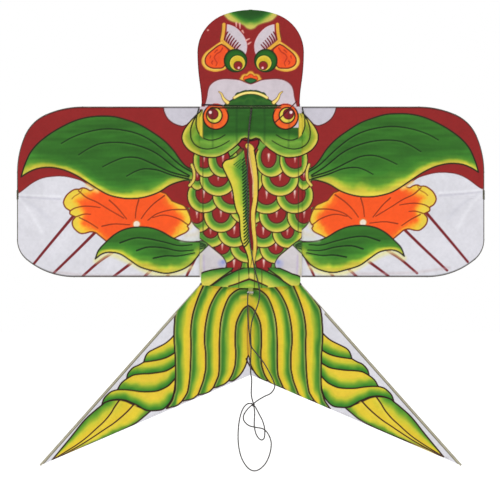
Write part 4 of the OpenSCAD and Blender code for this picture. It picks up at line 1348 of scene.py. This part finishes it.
def hem_strip(verts, faces, start, end, y, width, seed):
    """A folded edge: two layers with a round fold, from start to end in the plane of the kite."""
    start, end = np.array(start, float), np.array(end, float)
    span = np.linalg.norm(end - start)
    way = (end - start) / span
    side = np.array([-way[1], way[0]])
    profile = [(0, 0.36), (0.06, 0.12), (0.25, 0), (1, 0.02), (1.75, 0), (1.94, 0.12), (2, 0.3),
        (1.94, 0.46), (1.7, 0.55), (1, 0.5), (0.3, 0.56), (0.08, 0.5)]
    count = int(span / 2) + 1
    base = len(verts)
    for k in range(count + 1):
        at = start + way * span * k / count
        for across, deep in profile:
            wobble = 0.12 * math.sin(k * 0.9 + seed) + 0.08 * math.sin(k * 2.3 + across)
            point = at + side * width * (across / 2 + (0.03 * wobble if across > 1 else 0))
            verts.append((point[0], y + deep * 0.7 + 0.05 * wobble, point[1]))
    n = len(profile)
    for k in range(count):
        for j in range(n):
            a, b = base + k * n + j, base + k * n + (j + 1) % n
            faces.append((a, b, b + n, a + n))
    faces.append(tuple(range(base + n - 1, base - 1, -1)))
    faces.append(tuple(range(base + count * n, base + count * n + n)))


def flip_x(point, sign):
    return sign * point[0], point[1]


def add_fold(name, verts, faces, body, paint, seed, node):
    """A hem dyed through like the silk that it belongs to."""
    hem = add_mesh(name, verts, faces, body, PAINTED)
    points = np.array(verts)
    dye(hem, points[:, 0], points[:, 2], paint, WHITE, seed)
    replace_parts(hem, node)


def tape_ring(spar, hinge, radius):
    """A tape's path in the (y, z) plane: round the spar, across, and round the hinge stick."""
    lean = math.atan2(*(hinge - spar)[::-1])
    ring = []
    for centre, size, start, span in ((spar, radius, lean + 0.6, 2 * math.pi - 1.2),
                                      (hinge, radius + 0.05, lean - math.pi + 0.6, 2 * math.pi - 1.2)):
        for t in np.linspace(start, start + span, 26):
            ring.append(centre + size * np.array((math.cos(t), math.sin(t))))
    return np.array(ring)


def tape_loop(name, x, ring, node):
    """The tape round a ring, with its long edges turned in."""
    normal = np.roll(ring, -1, 0) - np.roll(ring, 1, 0)
    normal = np.stack([normal[:, 1], -normal[:, 0]], 1) / np.linalg.norm(normal, axis=1)[:, None]
    half = [(-3, 0), (-2.9, 0.22), (-2.4, 0.3), (0, 0.26), (2.4, 0.3), (2.9, 0.22)]
    across = half + [(3, 0), (2.8, -0.24), (0, -0.26), (-2.8, -0.24)]
    verts, faces, n = [], [], len(across)
    for point, out in zip(ring, normal):
        for wide, thick in across:
            verts.append((x + wide, *(point + out * thick)))
    for k in range(len(ring)):
        for j in range(n):
            here, after = k * n, (k + 1) % len(ring) * n
            i = (j + 1) % n
            faces.append((here + j, here + i, after + i, after + j))
    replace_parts(add_mesh(name, verts, faces, "centre_frame", TAPE), node)


WING_HEM_X = 80
HEM_Z = (-4.8, -251.2)
NOTCH_Z = -401.0
STICK_LEAN = math.atan2(-STICK_RUN, STICK_FALL)
CROSSPIECE_Y = 3.6
tail_edge = np.array((316, -136.0))
tail_way = tail_edge / np.linalg.norm(tail_edge)
tail_in = np.array((-tail_way[1], tail_way[0]))
fold_start = np.array((0, NOTCH_Z)) + tail_way * 5 + tail_in * 0.5
fold_end = fold_start + tail_way * (np.linalg.norm(tail_edge) - 24)
for side, sign in (("left", -1), ("right", 1)):
    # Wing hems, folded behind the silk, with their running stitch
    verts, faces, thread = [], [], Tubes()
    for z, end in zip(HEM_Z, (wing_top_start[0] - 2, wing_low_start[0] - 2)):
        hem_strip(verts, faces, (sign * WING_HEM_X, z), (sign * end, z), -1.68, 3 * sign, 1)
        stitches(thread, (sign * WING_HEM_X, z + 1.5), (sign * end, z + 1.5), (-1.2, -1.5))
    add_fold(side + "_wing_fold", verts, faces, side + "_wing", paint_wing, 50, side + "_wing_hem")
    thread.piece(side + "_wing_stitches", side + "_wing", WHITE_THREAD, "white_thread")
    # Tail hem along the notch
    verts, faces, thread = [], [], Tubes()
    hem_strip(verts, faces, flip_x(fold_start, sign), flip_x(fold_end, sign), 2.02, 3 * sign, 2)
    for depth in ((1.5, 1.9), (2.6, 2.2)):
        start, end = fold_start + tail_in * 1.5, fold_end + tail_in * 1.5
        stitches(thread, flip_x(start, sign), flip_x(end, sign), depth)
    add_fold(side + "_tail_fold", verts, faces, "tail", paint_tail, 60, side + "_tail_hem")
    thread.piece(side + "_tail_stitches", "tail", SEAM_THREAD, "binding_thread")
    # Binding where the two spars of a wing meet
    tubes = Tubes()
    tubes.add(helix(2.0, 2.05, -138, -124, 0.64) + (sign * WING_TIP, 0, 0), WRAP)
    tubes.piece(side + "_tip_wrap", side + "_wing", WAXED, "binding_thread", side + "_tip_binding")
    # Lashing of the tail stick to the crosspiece
    tubes = Tubes()
    rod = turned(helix(1.8, 1.8, -6.5, -1.8, PITCH), math.pi / 2, (POST - 0.5, CROSSPIECE_Y, CROSSPIECE))
    stick = turned(helix(1.8, 1.8, -6, -0.4, PITCH), STICK_LEAN, (POST - 0.4, CROSSPIECE_Y, CROSSPIECE))
    for line in (rod, stick):
        tubes.add(line * (sign, 1, 1), WRAP)
    tubes.piece(side + "_tail_wrap", "tail", WAXED, "binding_thread", side + "_tail_lashing")
    # Tape loop that hangs the tail: a band round both sticks, sewn between them
    ring = tape_ring(np.array((0.0, LOW_SPAR)), np.array((CROSSPIECE_Y, CROSSPIECE)), 2.0)
    tape_loop(side + "_tape_loop", sign * 36, ring, side + "_tail_loop")


# Finishes of the sticks and ferrules -----------------------------------------------------------

FINISH = {"spine": BAMBOO["spine"], "left_post": BAMBOO["z"], "right_post": BAMBOO["z"],
          "head_hoop": BAMBOO["dark"], "top_centre_spar": BAMBOO["x"],
          "bottom_centre_spar": BAMBOO["x"], "tail_crosspiece": BAMBOO["x"]}
for side in ("left", "right"):
    FINISH[side + "_tail_stick"] = BAMBOO["pale"]
    for place in ("top", "bottom"):
        FINISH[f"{side}_wing_{place}_spar"] = BAMBOO["dark"]
        FINISH[f"{side}_{place}_ferrule"] = BRASS
for name, material in FINISH.items():
    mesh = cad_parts[name].data
    mesh.materials.clear()
    mesh.materials.append(material)


# Floor -----------------------------------------------------------------------------------------

def add_floor(height=-0.62, half=6.0):
    """A pale floor well below the hanging kite."""
    data = bpy.data.meshes.new("floor")
    corners = [(-half, -half, height), (half, -half, height), (half, half, height), (-half, half, height)]
    data.from_pydata(corners, [], [(0, 1, 2, 3)])
    shader = Shader("floor", 0.9, specular=0.0)
    shader.paint(shader.ramp(shader.noise(3), (0.4, (0.97, 0.97, 0.97)), (0.6, (0.99, 0.99, 0.99))))
    shader.out.inputs["Emission Color"].default_value = (1, 1, 1, 1)
    shader.out.inputs["Emission Strength"].default_value = 0.12
    data.materials.append(shader.material)
    floor = bpy.data.objects.new("floor", data)
    bpy.context.collection.objects.link(floor)


add_floor()
